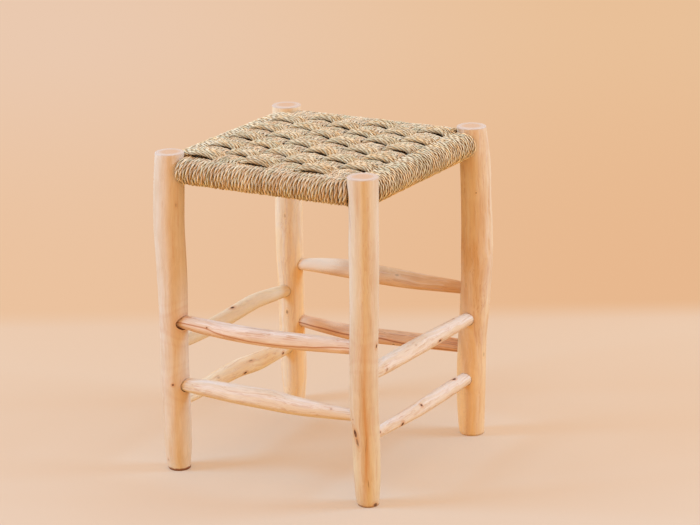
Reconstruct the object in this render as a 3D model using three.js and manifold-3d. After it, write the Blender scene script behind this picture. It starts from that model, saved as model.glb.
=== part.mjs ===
// A rustic stool of peeled poles with a rope seat. Four hand-shaped posts are tied by eight
// tapered rungs in blind mortises. Four seat rails join the posts near their tops, and bands
// of twisted fibre rope are wound round the rails and woven into a checkerboard.
// Millimetres, +Z up, with the origin on the floor below the middle of the stool.
import * as THREE from "three";
import { mergeVertices } from "three/addons/utils/BufferGeometryUtils.js";
import Module from "manifold-3d";

const wasm = await Module();
wasm.setup();

// Driving dimensions of the frame
const STOOL_HEIGHT = 450;
const POST_SPACING_X = 295.7;
const POST_SPACING_Y = 306.4;
const POST_GIRTH = 41;
const RIM_CHAMFER = 1.6;
const RAIL_DROP = 24;
const RAIL_GIRTH = 25.5;
const RAIL_TENON_GIRTH = 14;
const RAIL_TAPER_LENGTH = 5;
const TENON_WALL = 1.5;
const RUNG_TENON_LENGTH = 24;
const JOINT_CLEARANCE = 0.3;

// Height of each rung's middle above the floor, and its thickest girth
const RUNG_HEIGHT = {
  front_upper: 215.4,
  rear_upper: 213.5,
  front_lower: 123.3,
  rear_lower: 127.2,
  right_upper: 176.8,
  left_upper: 177,
  right_lower: 88.8,
  left_lower: 92.7,
};
const RUNG_GIRTH = {
  front_upper: 23,
  rear_upper: 28,
  front_lower: 28,
  rear_lower: 22,
  right_upper: 23.5,
  left_upper: 22.5,
  right_lower: 21,
  left_lower: 26.5,
};

// Driving dimensions of the rope seat
const BAND_THICKNESS = 5.4;
const WRAP_CLEARANCE = 0.4;
const WEAVE_RISE = 3.5;
const POST_GAP = 0.5;
const WARP_COUNT = 6;
const WEFT_COUNT = 10;
const BAND_WIDTH_SHARE = 0.9;
const SPREAD_SHARE = 0.055;

// Facets of the round pieces
const POST_SIDES = 16;
const RUNG_SIDES = 12;
const RAIL_SIDES = 12;

// Worked out from the dimensions above
const HALF_X = POST_SPACING_X / 2;
const HALF_Y = POST_SPACING_Y / 2;
const POST_RADIUS = POST_GIRTH / 2;
const RAIL_HEIGHT = STOOL_HEIGHT - RAIL_DROP;
const RAIL_RADIUS = RAIL_GIRTH / 2;
const WRAP_RADIUS = RAIL_RADIUS + WRAP_CLEARANCE + BAND_THICKNESS / 2;
const UNDERSIDE_STEP = BAND_THICKNESS / 2 + WRAP_CLEARANCE;

// Each post leans and swells in its own way. Both shares are of the post's girth, at the
// heights that the station shares give, and the bow runs along one direction in plan.
const POST_STATION_SHARES = [0, 0.022, 0.067, 0.12, 0.22, 0.33, 0.42, 0.51, 0.6, 0.69, 0.78, 0.89, 1];
const BOW_DIRECTION = new THREE.Vector2(Math.cos(Math.PI / 6), Math.sin(Math.PI / 6));
const POSTS = {
  front_left: {
    side: [-1, -1],
    girthShares: [0.75, 0.81, 0.9, 0.925, 0.937, 0.944, 0.94, 0.963, 1, 1.012, 1.025, 1.02, 0.96],
    bowShares: [-0.03, -0.05, -0.05, -0.05, -0.055, -0.07, -0.055, -0.05, -0.05, -0.07, -0.09, -0.05, 0.01],
  },
  front_right: {
    side: [1, -1],
    girthShares: [0.7, 0.77, 0.84, 0.89, 0.91, 0.95, 0.935, 0.92, 0.94, 0.945, 0.965, 0.95, 1],
    bowShares: [0.03, 0.01, 0.01, 0, -0.02, -0.065, -0.06, -0.04, -0.01, 0, 0, 0.017, 0],
  },
  rear_right: {
    side: [1, 1],
    girthShares: [0.84, 0.89, 0.94, 0.98, 0.995, 0.99, 1.025, 1.05, 1.085, 1.065, 1.035, 1.04, 0.99],
    bowShares: [0.015, 0, -0.01, -0.015, 0, 0.04, 0.117, 0.168, 0.193, 0.195, 0.17, 0.137, 0.012],
  },
  rear_left: {
    side: [-1, 1],
    girthShares: [0.73, 0.77, 0.865, 0.925, 0.927, 0.93, 0.94, 0.965, 0.98, 0.98, 0.985, 0.995, 1.005],
    bowShares: [0.05, 0.05, 0.05, 0.045, 0.02, 0.007, 0, -0.02, -0.02, -0.005, -0.01, -0.015, -0.015],
  },
};

// Each rung tapers to its ends and bends a little. The stations run from the face of its
// first post to the face of its second, and the shares are of the rung's own girth.
const RUNG_STATION_SHARES = [0, 0.12, 0.3, 0.5, 0.7, 0.88, 1];
const RUNGS = {
  front_upper: {
    ends: ["front_left", "front_right"],
    tiltShare: 0.16,
    girthShares: [0.83, 0.93, 1, 1, 0.98, 0.91, 0.83],
    sagShares: [0, -0.1, -0.2, -0.22, -0.14, -0.04, 0],
  },
  front_lower: {
    ends: ["front_left", "front_right"],
    tiltShare: -0.04,
    girthShares: [0.68, 0.82, 0.95, 1, 0.86, 0.68, 0.56],
    sagShares: [0, 0, 0, 0, -0.06, -0.03, 0],
  },
  rear_upper: {
    ends: ["rear_left", "rear_right"],
    tiltShare: -0.02,
    girthShares: [0.6, 0.78, 0.97, 0.98, 0.87, 0.72, 0.62],
    sagShares: [0, 0.08, 0.12, 0.05, 0, 0, 0],
  },
  rear_lower: {
    ends: ["rear_left", "rear_right"],
    tiltShare: 0.02,
    girthShares: [0.8, 0.9, 0.98, 1, 0.98, 0.95, 0.86],
    sagShares: [0, -0.12, -0.27, -0.23, -0.12, -0.03, 0],
  },
  right_upper: {
    ends: ["front_right", "rear_right"],
    tiltShare: -0.15,
    girthShares: [0.82, 0.95, 1, 1, 0.94, 0.86, 0.78],
    sagShares: [0, 0, 0.02, 0.03, 0.04, 0.02, 0],
  },
  left_upper: {
    ends: ["front_left", "rear_left"],
    tiltShare: -0.13,
    girthShares: [0.82, 0.93, 1, 1, 0.98, 0.9, 0.8],
    sagShares: [0, 0, 0.03, 0.15, 0.27, 0.12, 0],
  },
  right_lower: {
    ends: ["front_right", "rear_right"],
    tiltShare: -0.3,
    girthShares: [0.68, 0.72, 0.85, 0.95, 1, 0.98, 0.88],
    sagShares: [0, -0.03, -0.08, -0.1, -0.05, 0, 0],
  },
  left_lower: {
    ends: ["front_left", "rear_left"],
    tiltShare: -0.29,
    girthShares: [0.72, 0.8, 0.88, 0.97, 1, 0.86, 0.74],
    sagShares: [0, 0.02, 0.12, 0.16, 0.02, 0, 0],
  },
};

// Section of a band, as shares of half its width and half its thickness
const SECTION_SHARES = [
  [1, 0],
  [0.5, 1],
  [-0.5, 1],
  [-1, 0],
  [-0.5, -1],
  [0.5, -1],
];
// Where a band is measured within one square of the weave, and how high it arches there
const SQUARE_STEP_SHARES = [-1 / 3, 0, 1 / 3];
const FLOAT_SHARES = [0.85, 1, 0.85];
const WRAP_STEPS = 6;

const MATERIALS = {
  post: { color: 0xe6c7a4, roughness: 0.72, metalness: 0 },
  rung: { color: 0xe8cfb2, roughness: 0.75, metalness: 0 },
  rail: { color: 0xdcb98f, roughness: 0.78, metalness: 0 },
  warp: { color: 0xb3a274, roughness: 0.9, metalness: 0 },
  weft: { color: 0xa8a07c, roughness: 0.9, metalness: 0 },
};

// The value at a share of the way along a row of stations
function along(stationShares, valueShares, share) {
  const last = stationShares.length - 1;
  const clamped = Math.min(Math.max(share, stationShares[0]), stationShares[last]);
  const next = Math.max(1, stationShares.findIndex((station) => station >= clamped));
  const span = stationShares[next] - stationShares[next - 1];
  const blend = (clamped - stationShares[next - 1]) / span;
  return THREE.MathUtils.lerp(valueShares[next - 1], valueShares[next], blend);
}

function postRadiusAt(post, height) {
  return POST_RADIUS * along(POST_STATION_SHARES, post.girthShares, height / STOOL_HEIGHT);
}

function postBowAt(post, height) {
  return POST_GIRTH * along(POST_STATION_SHARES, post.bowShares, height / STOOL_HEIGHT);
}

// The point on a post's own axis at a height above the floor
function postAxisAt(post, height) {
  const bow = postBowAt(post, height);
  return new THREE.Vector3(
    post.side[0] * HALF_X + bow * BOW_DIRECTION.x,
    post.side[1] * HALF_Y + bow * BOW_DIRECTION.y,
    height,
  );
}

// A turned solid along +Z from [radius, distance] pairs, closed on its axis at both ends
function turned(outline, sides) {
  const first = new THREE.Vector2(0, outline[0][1]);
  const last = new THREE.Vector2(0, outline[outline.length - 1][1]);
  const rim = outline.map(([radius, distance]) => new THREE.Vector2(radius, distance));
  const geometry = new THREE.LatheGeometry([first, ...rim, last], sides);
  geometry.rotateX(Math.PI / 2);
  return geometry;
}

function moveVertices(geometry, shiftAt) {
  const position = geometry.getAttribute("position");
  for (let i = 0; i < position.count; i++) {
    const shift = shiftAt(position.getZ(i));
    position.setX(i, position.getX(i) + shift.x);
    position.setY(i, position.getY(i) + shift.y);
  }
}

function solidOf(geometry) {
  const bare = geometry.clone();
  bare.deleteAttribute("normal");
  bare.deleteAttribute("uv");
  const merged = mergeVertices(bare);
  return new wasm.Manifold(
    new wasm.Mesh({
      numProp: 3,
      vertProperties: new Float32Array(merged.getAttribute("position").array),
      triVerts: new Uint32Array(merged.index.array),
    }),
  );
}

function geometryOf(solid) {
  const { vertProperties, triVerts } = solid.getMesh();
  const geometry = new THREE.BufferGeometry();
  geometry.setAttribute("position", new THREE.BufferAttribute(vertProperties, 3));
  geometry.setIndex(new THREE.BufferAttribute(triVerts, 1));
  geometry.computeVertexNormals();
  return geometry;
}

function makeMesh(name, geometry, look) {
  const mesh = new THREE.Mesh(geometry, new THREE.MeshStandardMaterial(look));
  mesh.name = name;
  return mesh;
}

// Lays a pole from one point to another: its local +Z runs along it and its local +Y is up
function layPole(mesh, from, to) {
  const forward = to.clone().sub(from).normalize();
  const across = new THREE.Vector3(0, 0, 1).cross(forward).normalize();
  const up = forward.clone().cross(across);
  mesh.position.copy(from);
  mesh.quaternion.setFromRotationMatrix(new THREE.Matrix4().makeBasis(across, up, forward));
  mesh.updateMatrixWorld(true);
}

// A rung with its blind tenons. A grown copy of it cuts the mortises.
function rungGeometry(rung, girth, height, growth) {
  const [first, second] = rung.ends.map((end) => POSTS[end]);
  const length = postAxisAt(first, height).distanceTo(postAxisAt(second, height));
  const start = postRadiusAt(first, height);
  const end = length - postRadiusAt(second, height);
  const radii = rung.girthShares.map((share) => (share * girth) / 2 + growth);
  const places = RUNG_STATION_SHARES.map((share) => THREE.MathUtils.lerp(start, end, share));
  const body = radii.map((radius, i) => [radius, places[i]]);
  const outline = [
    [radii[0], start - RUNG_TENON_LENGTH - growth],
    ...body,
    [radii[radii.length - 1], end + RUNG_TENON_LENGTH + growth],
  ];
  const geometry = turned(outline, RUNG_SIDES);
  moveVertices(geometry, (distance) => {
    const share = (distance - start) / (end - start);
    return new THREE.Vector2(0, girth * along(RUNG_STATION_SHARES, rung.sagShares, share));
  });
  return geometry;
}

function makeRung(name) {
  const rung = RUNGS[name];
  const girth = RUNG_GIRTH[name];
  const height = RUNG_HEIGHT[name];
  const tilt = (rung.tiltShare * girth) / 2;
  const [first, second] = rung.ends.map((end) => POSTS[end]);
  const mesh = makeMesh(`rung_${name}`, rungGeometry(rung, girth, height, 0), MATERIALS.rung);
  layPole(mesh, postAxisAt(first, height - tilt), postAxisAt(second, height + tilt));
  const cutter = rungGeometry(rung, girth, height, JOINT_CLEARANCE).applyMatrix4(mesh.matrixWorld);
  return { mesh, cutter, ends: rung.ends };
}

// A seat rail, thinned at both ends to tenons that stop short of the next rail's mortise
function railGeometry(spacing, growth) {
  const reach = RAIL_TENON_GIRTH / 2 + TENON_WALL;
  const shoulder = POST_RADIUS + POST_GAP;
  const tenonRadius = RAIL_TENON_GIRTH / 2 + growth;
  const bodyRadius = RAIL_RADIUS + growth;
  const outline = [
    [tenonRadius, reach - growth],
    [tenonRadius, shoulder],
    [bodyRadius, shoulder + RAIL_TAPER_LENGTH],
    [bodyRadius, spacing - shoulder - RAIL_TAPER_LENGTH],
    [tenonRadius, spacing - shoulder],
    [tenonRadius, spacing - reach + growth],
  ];
  return turned(outline, RAIL_SIDES);
}

function makeRail(name, ends, spacing) {
  const [from, to] = ends.map(
    (end) => new THREE.Vector3(POSTS[end].side[0] * HALF_X, POSTS[end].side[1] * HALF_Y, RAIL_HEIGHT),
  );
  const mesh = makeMesh(`seat_rail_${name}`, railGeometry(spacing, 0), MATERIALS.rail);
  layPole(mesh, from, to);
  const cutter = railGeometry(spacing, JOINT_CLEARANCE).applyMatrix4(mesh.matrixWorld);
  return { mesh, cutter, ends };
}

// A post with a cut flat foot, a chamfered top and a mortise for every pole that meets it
function makePost(name, poles) {
  const post = POSTS[name];
  const chamferHeight = STOOL_HEIGHT - RIM_CHAMFER;
  const outline = POST_STATION_SHARES.map((share, i) => [
    POST_RADIUS * post.girthShares[i],
    Math.min(share * STOOL_HEIGHT, chamferHeight),
  ]);
  outline.push([outline[outline.length - 1][0] - RIM_CHAMFER, STOOL_HEIGHT]);
  const geometry = turned(outline, POST_SIDES);
  moveVertices(geometry, (height) => BOW_DIRECTION.clone().multiplyScalar(postBowAt(post, height)));
  const place = new THREE.Vector3(post.side[0] * HALF_X, post.side[1] * HALF_Y, 0);
  let solid = solidOf(geometry);
  for (const pole of poles.filter(({ ends }) => ends.includes(name))) {
    const cutter = pole.cutter.clone().translate(-place.x, -place.y, 0);
    solid = solid.subtract(solidOf(cutter));
  }
  const mesh = makeMesh(`post_${name}`, geometryOf(solid), MATERIALS.post);
  mesh.position.copy(place);
  return mesh;
}

// Clear of the corner posts the bands spread apart: how much, at a distance from the middle
function spreadAt(distance, half) {
  return 1 + SPREAD_SHARE * Math.max(0, Math.cos((Math.PI * distance) / (2 * half)));
}

// The loop that a band follows round two rails, as [distance across the seat, height] pairs.
// Its top side rises over a crossing band where isOver says so, and dips under the rest.
function bandPath(half, crossings, spread, isOver, undersideShift) {
  const reach = (half - POST_RADIUS - POST_GAP) * spread;
  const pitch = (2 * reach) / crossings;
  const top = RAIL_HEIGHT + WRAP_RADIUS;
  const path = [];
  for (let crossing = 0; crossing < crossings; crossing++) {
    const rise = isOver(crossing) ? WEAVE_RISE : -WEAVE_RISE;
    SQUARE_STEP_SHARES.forEach((share, i) => {
      const across = -reach + pitch * (crossing + 0.5 + share);
      path.push([across, top + rise * FLOAT_SHARES[i]]);
    });
  }
  const underside = RAIL_HEIGHT - WRAP_RADIUS + undersideShift;
  const wrap = (centre, startAngle) => {
    for (let step = 0; step <= WRAP_STEPS; step++) {
      const angle = startAngle - (Math.PI * step) / WRAP_STEPS;
      path.push([
        centre + WRAP_RADIUS * Math.cos(angle),
        RAIL_HEIGHT + WRAP_RADIUS * Math.sin(angle),
      ]);
    }
  };
  wrap(half, Math.PI / 2);
  path.push([reach, underside], [-reach, underside]);
  wrap(-half, -Math.PI / 2);
  return path;
}

// A closed band that follows a path in the local YZ plane, with its width along local X
function bandGeometry(path, centre, width, half) {
  const positions = [];
  const indices = [];
  const steps = path.length;
  const sides = SECTION_SHARES.length;
  path.forEach(([across, height], step) => {
    const [beforeAcross, beforeHeight] = path[(step + steps - 1) % steps];
    const [afterAcross, afterHeight] = path[(step + 1) % steps];
    const tangent = new THREE.Vector2(afterAcross - beforeAcross, afterHeight - beforeHeight).normalize();
    const spread = spreadAt(across, half);
    for (const [widthShare, thicknessShare] of SECTION_SHARES) {
      const rise = (thicknessShare * BAND_THICKNESS) / 2;
      positions.push(
        (centre + (widthShare * width) / 2) * spread,
        across - tangent.y * rise,
        height + tangent.x * rise,
      );
    }
  });
  for (let step = 0; step < steps; step++) {
    const nextStep = (step + 1) % steps;
    for (let side = 0; side < sides; side++) {
      const nextSide = (side + 1) % sides;
      const a = step * sides + side;
      const b = step * sides + nextSide;
      const c = nextStep * sides + nextSide;
      const d = nextStep * sides + side;
      indices.push(a, c, b, a, d, c);
    }
  }
  const geometry = new THREE.BufferGeometry();
  geometry.setAttribute("position", new THREE.Float32BufferAttribute(positions, 3));
  geometry.setIndex(indices);
  geometry.computeVertexNormals();
  return geometry;
}

// The squares of the weave alternate, with a weft band on top in the front left square
function weftIsOver(column, row) {
  return (column + row) % 2 === 0;
}

// One set of parallel bands, numbered along local +X
function makeBands(kind, count, crossings, half, crossHalf, isOver, undersideShift) {
  const group = new THREE.Group();
  const reach = crossHalf - POST_RADIUS - POST_GAP;
  const pitch = (2 * reach) / count;
  for (let number = 1; number <= count; number++) {
    const centre = -reach + pitch * (number - 0.5);
    const crossesOver = (crossing) => isOver(number - 1, crossing);
    const path = bandPath(half, crossings, spreadAt(centre, crossHalf), crossesOver, undersideShift);
    const geometry = bandGeometry(path, centre, pitch * BAND_WIDTH_SHARE, half);
    group.add(makeMesh(`${kind}_band_${number}`, geometry, MATERIALS[kind]));
  }
  return group;
}

// Warp bands run from the front rail to the rear rail and are numbered from the left. Weft
// bands run from side to side: a quarter turn puts their first one at the front, and their
// crossings are then counted from the right.
function makeSeat() {
  const seat = new THREE.Group();
  const warpIsOver = (column, row) => !weftIsOver(column, row);
  const turnedWeftIsOver = (row, crossing) => weftIsOver(WARP_COUNT - 1 - crossing, row);
  const warps = makeBands("warp", WARP_COUNT, WEFT_COUNT, HALF_Y, HALF_X, warpIsOver, UNDERSIDE_STEP);
  const wefts = makeBands(
    "weft",
    WEFT_COUNT,
    WARP_COUNT,
    HALF_X,
    HALF_Y,
    turnedWeftIsOver,
    -UNDERSIDE_STEP,
  );
  wefts.rotation.z = Math.PI / 2;
  seat.add(warps, wefts);
  return seat;
}

function makeStool() {
  const stool = new THREE.Group();
  const rungs = Object.keys(RUNGS).map(makeRung);
  const rails = [
    makeRail("front", ["front_left", "front_right"], POST_SPACING_X),
    makeRail("rear", ["rear_left", "rear_right"], POST_SPACING_X),
    makeRail("left", ["front_left", "rear_left"], POST_SPACING_Y),
    makeRail("right", ["front_right", "rear_right"], POST_SPACING_Y),
  ];
  const poles = [...rungs, ...rails];
  stool.add(...poles.map(({ mesh }) => mesh));
  stool.add(...Object.keys(POSTS).map((name) => makePost(name, poles)));
  stool.add(makeSeat());
  return stool;
}

// The origin lies below the middle of the stool's outer box
const frame = new THREE.Group();
const stool = makeStool();
frame.add(stool);
const middle = new THREE.Box3().setFromObject(stool).getCenter(new THREE.Vector3());
stool.position.set(-middle.x, -middle.y, 0);
frame.updateMatrixWorld(true);

export default frame;
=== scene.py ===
"""A rustic stool of peeled poles with a woven rope seat.

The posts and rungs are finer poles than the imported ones, with mortises, knots and grain. The seat
is wound from single turns of twisted rope, and each band of the weave is a piece of its own.
Everything is in metres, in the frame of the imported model.
"""

import logging
import math
import random
from collections.abc import Sequence
from dataclasses import dataclass, field, replace
from enum import Enum
from typing import Any

import bmesh
import bpy
from mathutils import Matrix, Vector, noise


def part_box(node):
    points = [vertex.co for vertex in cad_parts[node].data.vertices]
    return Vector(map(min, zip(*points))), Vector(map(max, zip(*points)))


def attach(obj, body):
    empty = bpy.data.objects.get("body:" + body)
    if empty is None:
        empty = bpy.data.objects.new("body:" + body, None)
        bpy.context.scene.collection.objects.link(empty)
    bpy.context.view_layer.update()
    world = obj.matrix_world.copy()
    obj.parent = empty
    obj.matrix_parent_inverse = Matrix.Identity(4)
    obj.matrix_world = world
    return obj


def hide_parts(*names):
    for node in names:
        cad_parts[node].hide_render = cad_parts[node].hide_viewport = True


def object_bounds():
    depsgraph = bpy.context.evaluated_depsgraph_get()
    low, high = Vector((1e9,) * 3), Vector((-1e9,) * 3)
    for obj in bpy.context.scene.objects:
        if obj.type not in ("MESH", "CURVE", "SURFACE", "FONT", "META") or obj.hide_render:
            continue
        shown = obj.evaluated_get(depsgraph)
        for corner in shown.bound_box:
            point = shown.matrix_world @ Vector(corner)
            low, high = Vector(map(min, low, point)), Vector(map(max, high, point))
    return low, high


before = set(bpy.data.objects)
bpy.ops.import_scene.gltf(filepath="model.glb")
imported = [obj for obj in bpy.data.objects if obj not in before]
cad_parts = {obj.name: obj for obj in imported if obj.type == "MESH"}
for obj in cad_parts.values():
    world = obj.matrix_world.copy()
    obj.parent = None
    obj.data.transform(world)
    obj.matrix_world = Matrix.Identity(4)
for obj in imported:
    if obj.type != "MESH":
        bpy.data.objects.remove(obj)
CAD_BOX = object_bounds()
LOG = logging.getLogger("stool")
BODY = "root"

Colour = tuple[float, float, float]

# The inputs of the shared node groups that a finish has a field for, with the kind of each socket
GRAIN_INPUTS = {
    "Pale": "c", "Tan": "c", "Line": "c", "Bleached": "c",
    "Patches": "f", "Lines": "f", "Bleach": "f", "Coarseness": "f",
}
ROPE_INPUTS = {
    "Straw": "c", "Green": "c", "Amber": "c", "Brown": "c", "Bright": "c",
    "Crevice": "f", "Length": "f", "Rounds": "f",
}
SURFACE = {"Color": "c", "Roughness": "f", "Height": "f"}
RELIEF_DEPTH = 0.0006
# The attributes in a band's mesh, which tell its turns of rope apart and say where the rope's material
# paints shade
TURN_MARKS = ("tone", "exposure", "fresh", "facing")
# How much red, green and blue a roll of rope gains in painted light upward and in painted warm bounce
# downward
ROLL_LIGHT_TINTS = ((0.22, 0.0), (0.44, -0.16), (0.75, -0.5))
RING_COLOUR = (0.42, 0.2, 0.09)
# How fast growth rings follow each other, in radians over the radius, and how unevenly they lie
RING_RATE, RING_DRIFT = 52, 0.3
# A knot's ragged edge, and where its core and its halo fade out, in half sizes
RAGGED_RATE, RAGGED_SHARE = 520, 0.9
CORE_EDGE, HALO_EDGE = (0.6, 1.05), (0.9, 2.6)
# How often the grain bends across and along a pole, and how far, in metres
BEND_RATES, BEND_REACH = (9, 9, 16), (0.012, 0.012, 0)
# The noises in wood: their scales across and along the pole, their detail and their roughness
PATCH_NOISE, BAND_NOISE, FIBRE_NOISE = (34, 9, 3), (120, 4, 3), (420, 14, 4, 0.65)
HAIR_NOISE, FLECK_NOISE = (1500, 60, 2), (900, 150, 2, 0.5)
STREAK_NOISE, CRACK_NOISE = (210, 7, 3), (190, 4, 3, 0.65)
# The strips, strands and hairs of a rope: their scales across it, both ways, and along it
STRIP_RATES, STRAND_RATES, HAIR_RATES = (2.6, 2.6, 0.6), (4.5, 4.5, 1), (11, 11, 2)
# The heights between which a roll of rope gets painted light upward and painted warm bounce downward
PAINTED_LIGHT_HEIGHTS, PAINTED_BOUNCE_HEIGHTS = (0.43, 0.447), (0.433, 0.419)
# The outline of the plies laid together, as shares of the rope's radius
PLIES = 3
PLY_CENTRE_SHARE = 0.52
PLY_RADIUS_SHARE = 0.5
PLY_ANGLES = (-75, -28, 28, 75)
PLY_VALLEY_SHARE = 0.4


class Grain(Enum):
    """Where a wood's grain is read from: the place in the object, or along the unbent pole."""

    OBJECT = "object"
    STRAIGHT = "straight"


class Layer(Enum):
    """The two sets of bands in the seat."""

    WARP = "warp"
    WEFT = "weft"


def paint(red: int, green: int, blue: int) -> Colour:
    """Turns a colour as a screen shows it, 0 to 255, into the linear one that shaders take."""
    shares = (value / 255 for value in (red, green, blue))
    return tuple(s / 12.92 if s <= 0.04045 else ((s + 0.055) / 1.055) ** 2.4 for s in shares)


def smooth_along(stations: Sequence[float], values: Sequence[float], share: float) -> float:
    """Reads a smooth curve through a row of stations.

    Args:
        stations: Rising places along the curve.
        values: The curve's value at each station.
        share: The place to read.

    Returns:
        The value there, level past either end.
    """
    last = len(stations) - 1
    place = min(max(share, stations[0]), stations[last])
    right = next(i for i in range(1, last + 1) if stations[i] >= place)
    left = right - 1
    span = stations[right] - stations[left]
    t = (place - stations[left]) / span

    def slope(i: int) -> float:
        """The slope at a station, over one span."""
        before, after = max(i - 1, 0), min(i + 1, last)
        return (values[after] - values[before]) / (stations[after] - stations[before]) * span

    rise = values[right] - values[left]
    ease = t * t * (3 - 2 * t)
    bulge = t * (1 - t)
    return values[left] + rise * ease + bulge * ((1 - t) * slope(left) - t * slope(right))


def wobble(*place: float) -> float:
    """Smooth seeded noise between about -1 and 1."""
    return noise.noise(Vector(place))


def new_object(name: str, data: bpy.types.ID) -> bpy.types.Object:
    """Puts a mesh, a curve, a lamp or a camera in the scene.

    Args:
        name: The object's name.
        data: What it holds.

    Returns:
        The new object.
    """
    piece = bpy.data.objects.new(name, data)
    bpy.context.scene.collection.objects.link(piece)
    return piece


def mesh_from(bm: bmesh.types.BMesh, name: str) -> bpy.types.Mesh:
    """Writes a bmesh to a new mesh and frees it.

    Args:
        bm: The bmesh.
        name: The mesh's name.

    Returns:
        The new mesh.
    """
    mesh = bpy.data.meshes.new(name)
    bm.to_mesh(mesh)
    bm.free()
    return mesh


def evaluated(piece: bpy.types.Object) -> bpy.types.Mesh:
    """The mesh of a piece with its modifiers or its curve's shape worked out."""
    graph = bpy.context.evaluated_depsgraph_get()
    return bpy.data.meshes.new_from_object(piece.evaluated_get(graph))


def round_over(mesh: bpy.types.Mesh, crease: float = math.radians(38)) -> None:
    """Shades a mesh smooth, apart from edges sharper than the crease."""
    mesh.shade_smooth()
    mesh.set_sharp_from_angle(angle=crease)


@dataclass(frozen=True)
class Signal:
    """A number, a vector or a colour that nodes work out, with plain arithmetic on it."""

    wiring: "Wiring"
    socket: bpy.types.NodeSocket

    def step(self, operation: str, other: Any = 0.0) -> "Signal":
        """One step of arithmetic, on vectors where this is a vector or a colour."""
        kind = "VectorMath" if self.socket.type in ("VECTOR", "RGBA") else "Math"
        return self.wiring.signal(kind, {0: self, 1: other}, operation=operation)

    def __add__(self, other: Any) -> "Signal":
        """The sum of this and another."""
        return self.step("ADD", other)

    def __sub__(self, other: Any) -> "Signal":
        """The difference from another."""
        return self.step("SUBTRACT", other)

    def __rsub__(self, whole: float) -> "Signal":
        """What is left of a plain number once this is taken away."""
        return self.wiring.signal("Math", {0: whole, 1: self}, operation="SUBTRACT")

    def __mul__(self, other: Any) -> "Signal":
        """The product of this and another."""
        return self.step("MULTIPLY", other)

    def __truediv__(self, other: Any) -> "Signal":
        """This divided by another."""
        return self.step("DIVIDE", other)

    def dot(self, direction: Vector) -> "Signal":
        """How far a vector reaches along a direction."""
        return self.wiring.signal("VectorMath", {0: self, 1: direction}, "Value", operation="DOT_PRODUCT")

    def length(self) -> "Signal":
        """The length of a vector."""
        return self.wiring.signal("VectorMath", {0: self}, "Value", operation="LENGTH")

    def turned(self, axis: str, angle: Any) -> "Signal":
        """A vector turned about one of the axes."""
        return self.wiring.signal(
            "VectorRotate", {"Vector": self, "Angle": angle}, rotation_type=f"{axis}_AXIS"
        )

    def split(self) -> list["Signal"]:
        """The three numbers of a vector or a colour."""
        return [Signal(self.wiring, part) for part in self.wiring.add("SeparateXYZ", {0: self}).outputs]

    def eased(self, low: float, high: float, first: float = 0, last: float = 1) -> "Signal":
        """Eases a number from one range, low to high, into another, first to last."""
        inputs = {"Value": self, "From Min": low, "From Max": high, "To Min": first, "To Max": last}
        return self.wiring.signal("MapRange", inputs, interpolation_type="SMOOTHSTEP")

    def speckle(self, scale: float, detail: float = 3, roughness: float = 0.55) -> "Signal":
        """Soft noise between 0 and 1 at this place."""
        inputs = {"Vector": self, "Scale": scale, "Detail": detail, "Roughness": roughness}
        return self.wiring.signal("TexNoise", inputs, "Fac")


class Wiring:
    """Adds nodes to one node tree and joins them."""

    def __init__(self, tree: bpy.types.NodeTree) -> None:
        """Takes over an empty tree."""
        tree.nodes.clear()
        self.tree = tree

    def add(self, kind: str, inputs: dict[str | int, Any] | None = None, **settings: Any) -> bpy.types.Node:
        """Adds a node.

        Args:
            kind: The node's type, without its leading ShaderNode.
            inputs: Signals to join, or values to set, by the input's name or number.
            settings: Options of the node itself.

        Returns:
            The new node.
        """
        node = self.tree.nodes.new(f"ShaderNode{kind}")
        for name, value in settings.items():
            setattr(node, name, value)
        for name, value in (inputs or {}).items():
            self.feed(node, name, value)
        return node

    def feed(self, node: bpy.types.Node, name: str | int, value: Any) -> None:
        """Joins a signal to a node's input, or sets the input's own value.

        Args:
            node: The node.
            name: The input's name or number.
            value: A signal, a number, a vector or a colour.
        """
        socket = node.inputs[name]
        if isinstance(value, Signal):
            self.tree.links.new(value.socket, socket)
        else:
            socket.default_value = (*value, 1.0) if socket.type == "RGBA" else value

    def signal(
        self, kind: str, inputs: dict[str | int, Any] | None = None, output: str | int = 0, **settings: Any
    ) -> Signal:
        """Adds a node and takes one of its outputs."""
        return Signal(self, self.add(kind, inputs, **settings).outputs[output])

    def attribute(self, name: str, output: str = "Fac") -> Signal:
        """Reads an attribute of the mesh."""
        return self.signal("Attribute", output=output, attribute_name=name)

    def vector(self, *parts: Any) -> Signal:
        """Puts three numbers together."""
        return self.signal("CombineXYZ", dict(enumerate(parts)))

    def mix(self, share: Any, first: Any, second: Any) -> Signal:
        """Mixes two colours."""
        return self.signal("Mix", {0: share, 6: first, 7: second}, 2, data_type="RGBA")

    def coats(self, colour: Any, *coats: tuple[Signal, Any]) -> Signal:
        """Lays colours over one another.

        Args:
            colour: The lowest colour.
            coats: The share and the colour of each coat.

        Returns:
            The colour on top.
        """
        for share, coat in coats:
            colour = self.mix(share, colour, coat)
        return colour

    def group(self, tree: bpy.types.NodeTree, inputs: dict[str | int, Any]) -> dict[str, Signal]:
        """Places a node group and takes its outputs by name."""
        outputs = self.add("Group", inputs, node_tree=tree).outputs
        return {output.name: Signal(self, output) for output in outputs}

    def surface(self, made: dict[str, Signal], strength: float, gloss: float) -> None:
        """Ends a material in its shader.

        Args:
            made: The colour, the roughness and the height of the surface.
            strength: How strongly the height shows as relief.
            gloss: The shader's specular level.
        """
        relief = {"Height": made["Height"], "Strength": strength, "Distance": RELIEF_DEPTH}
        bump = self.signal("Bump", relief)
        looks = {"Base Color": made["Color"], "Roughness": made["Roughness"], "Normal": bump}
        shader = self.signal("BsdfPrincipled", {**looks, "Specular IOR Level": gloss})
        self.add("OutputMaterial", {"Surface": shader})


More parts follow.
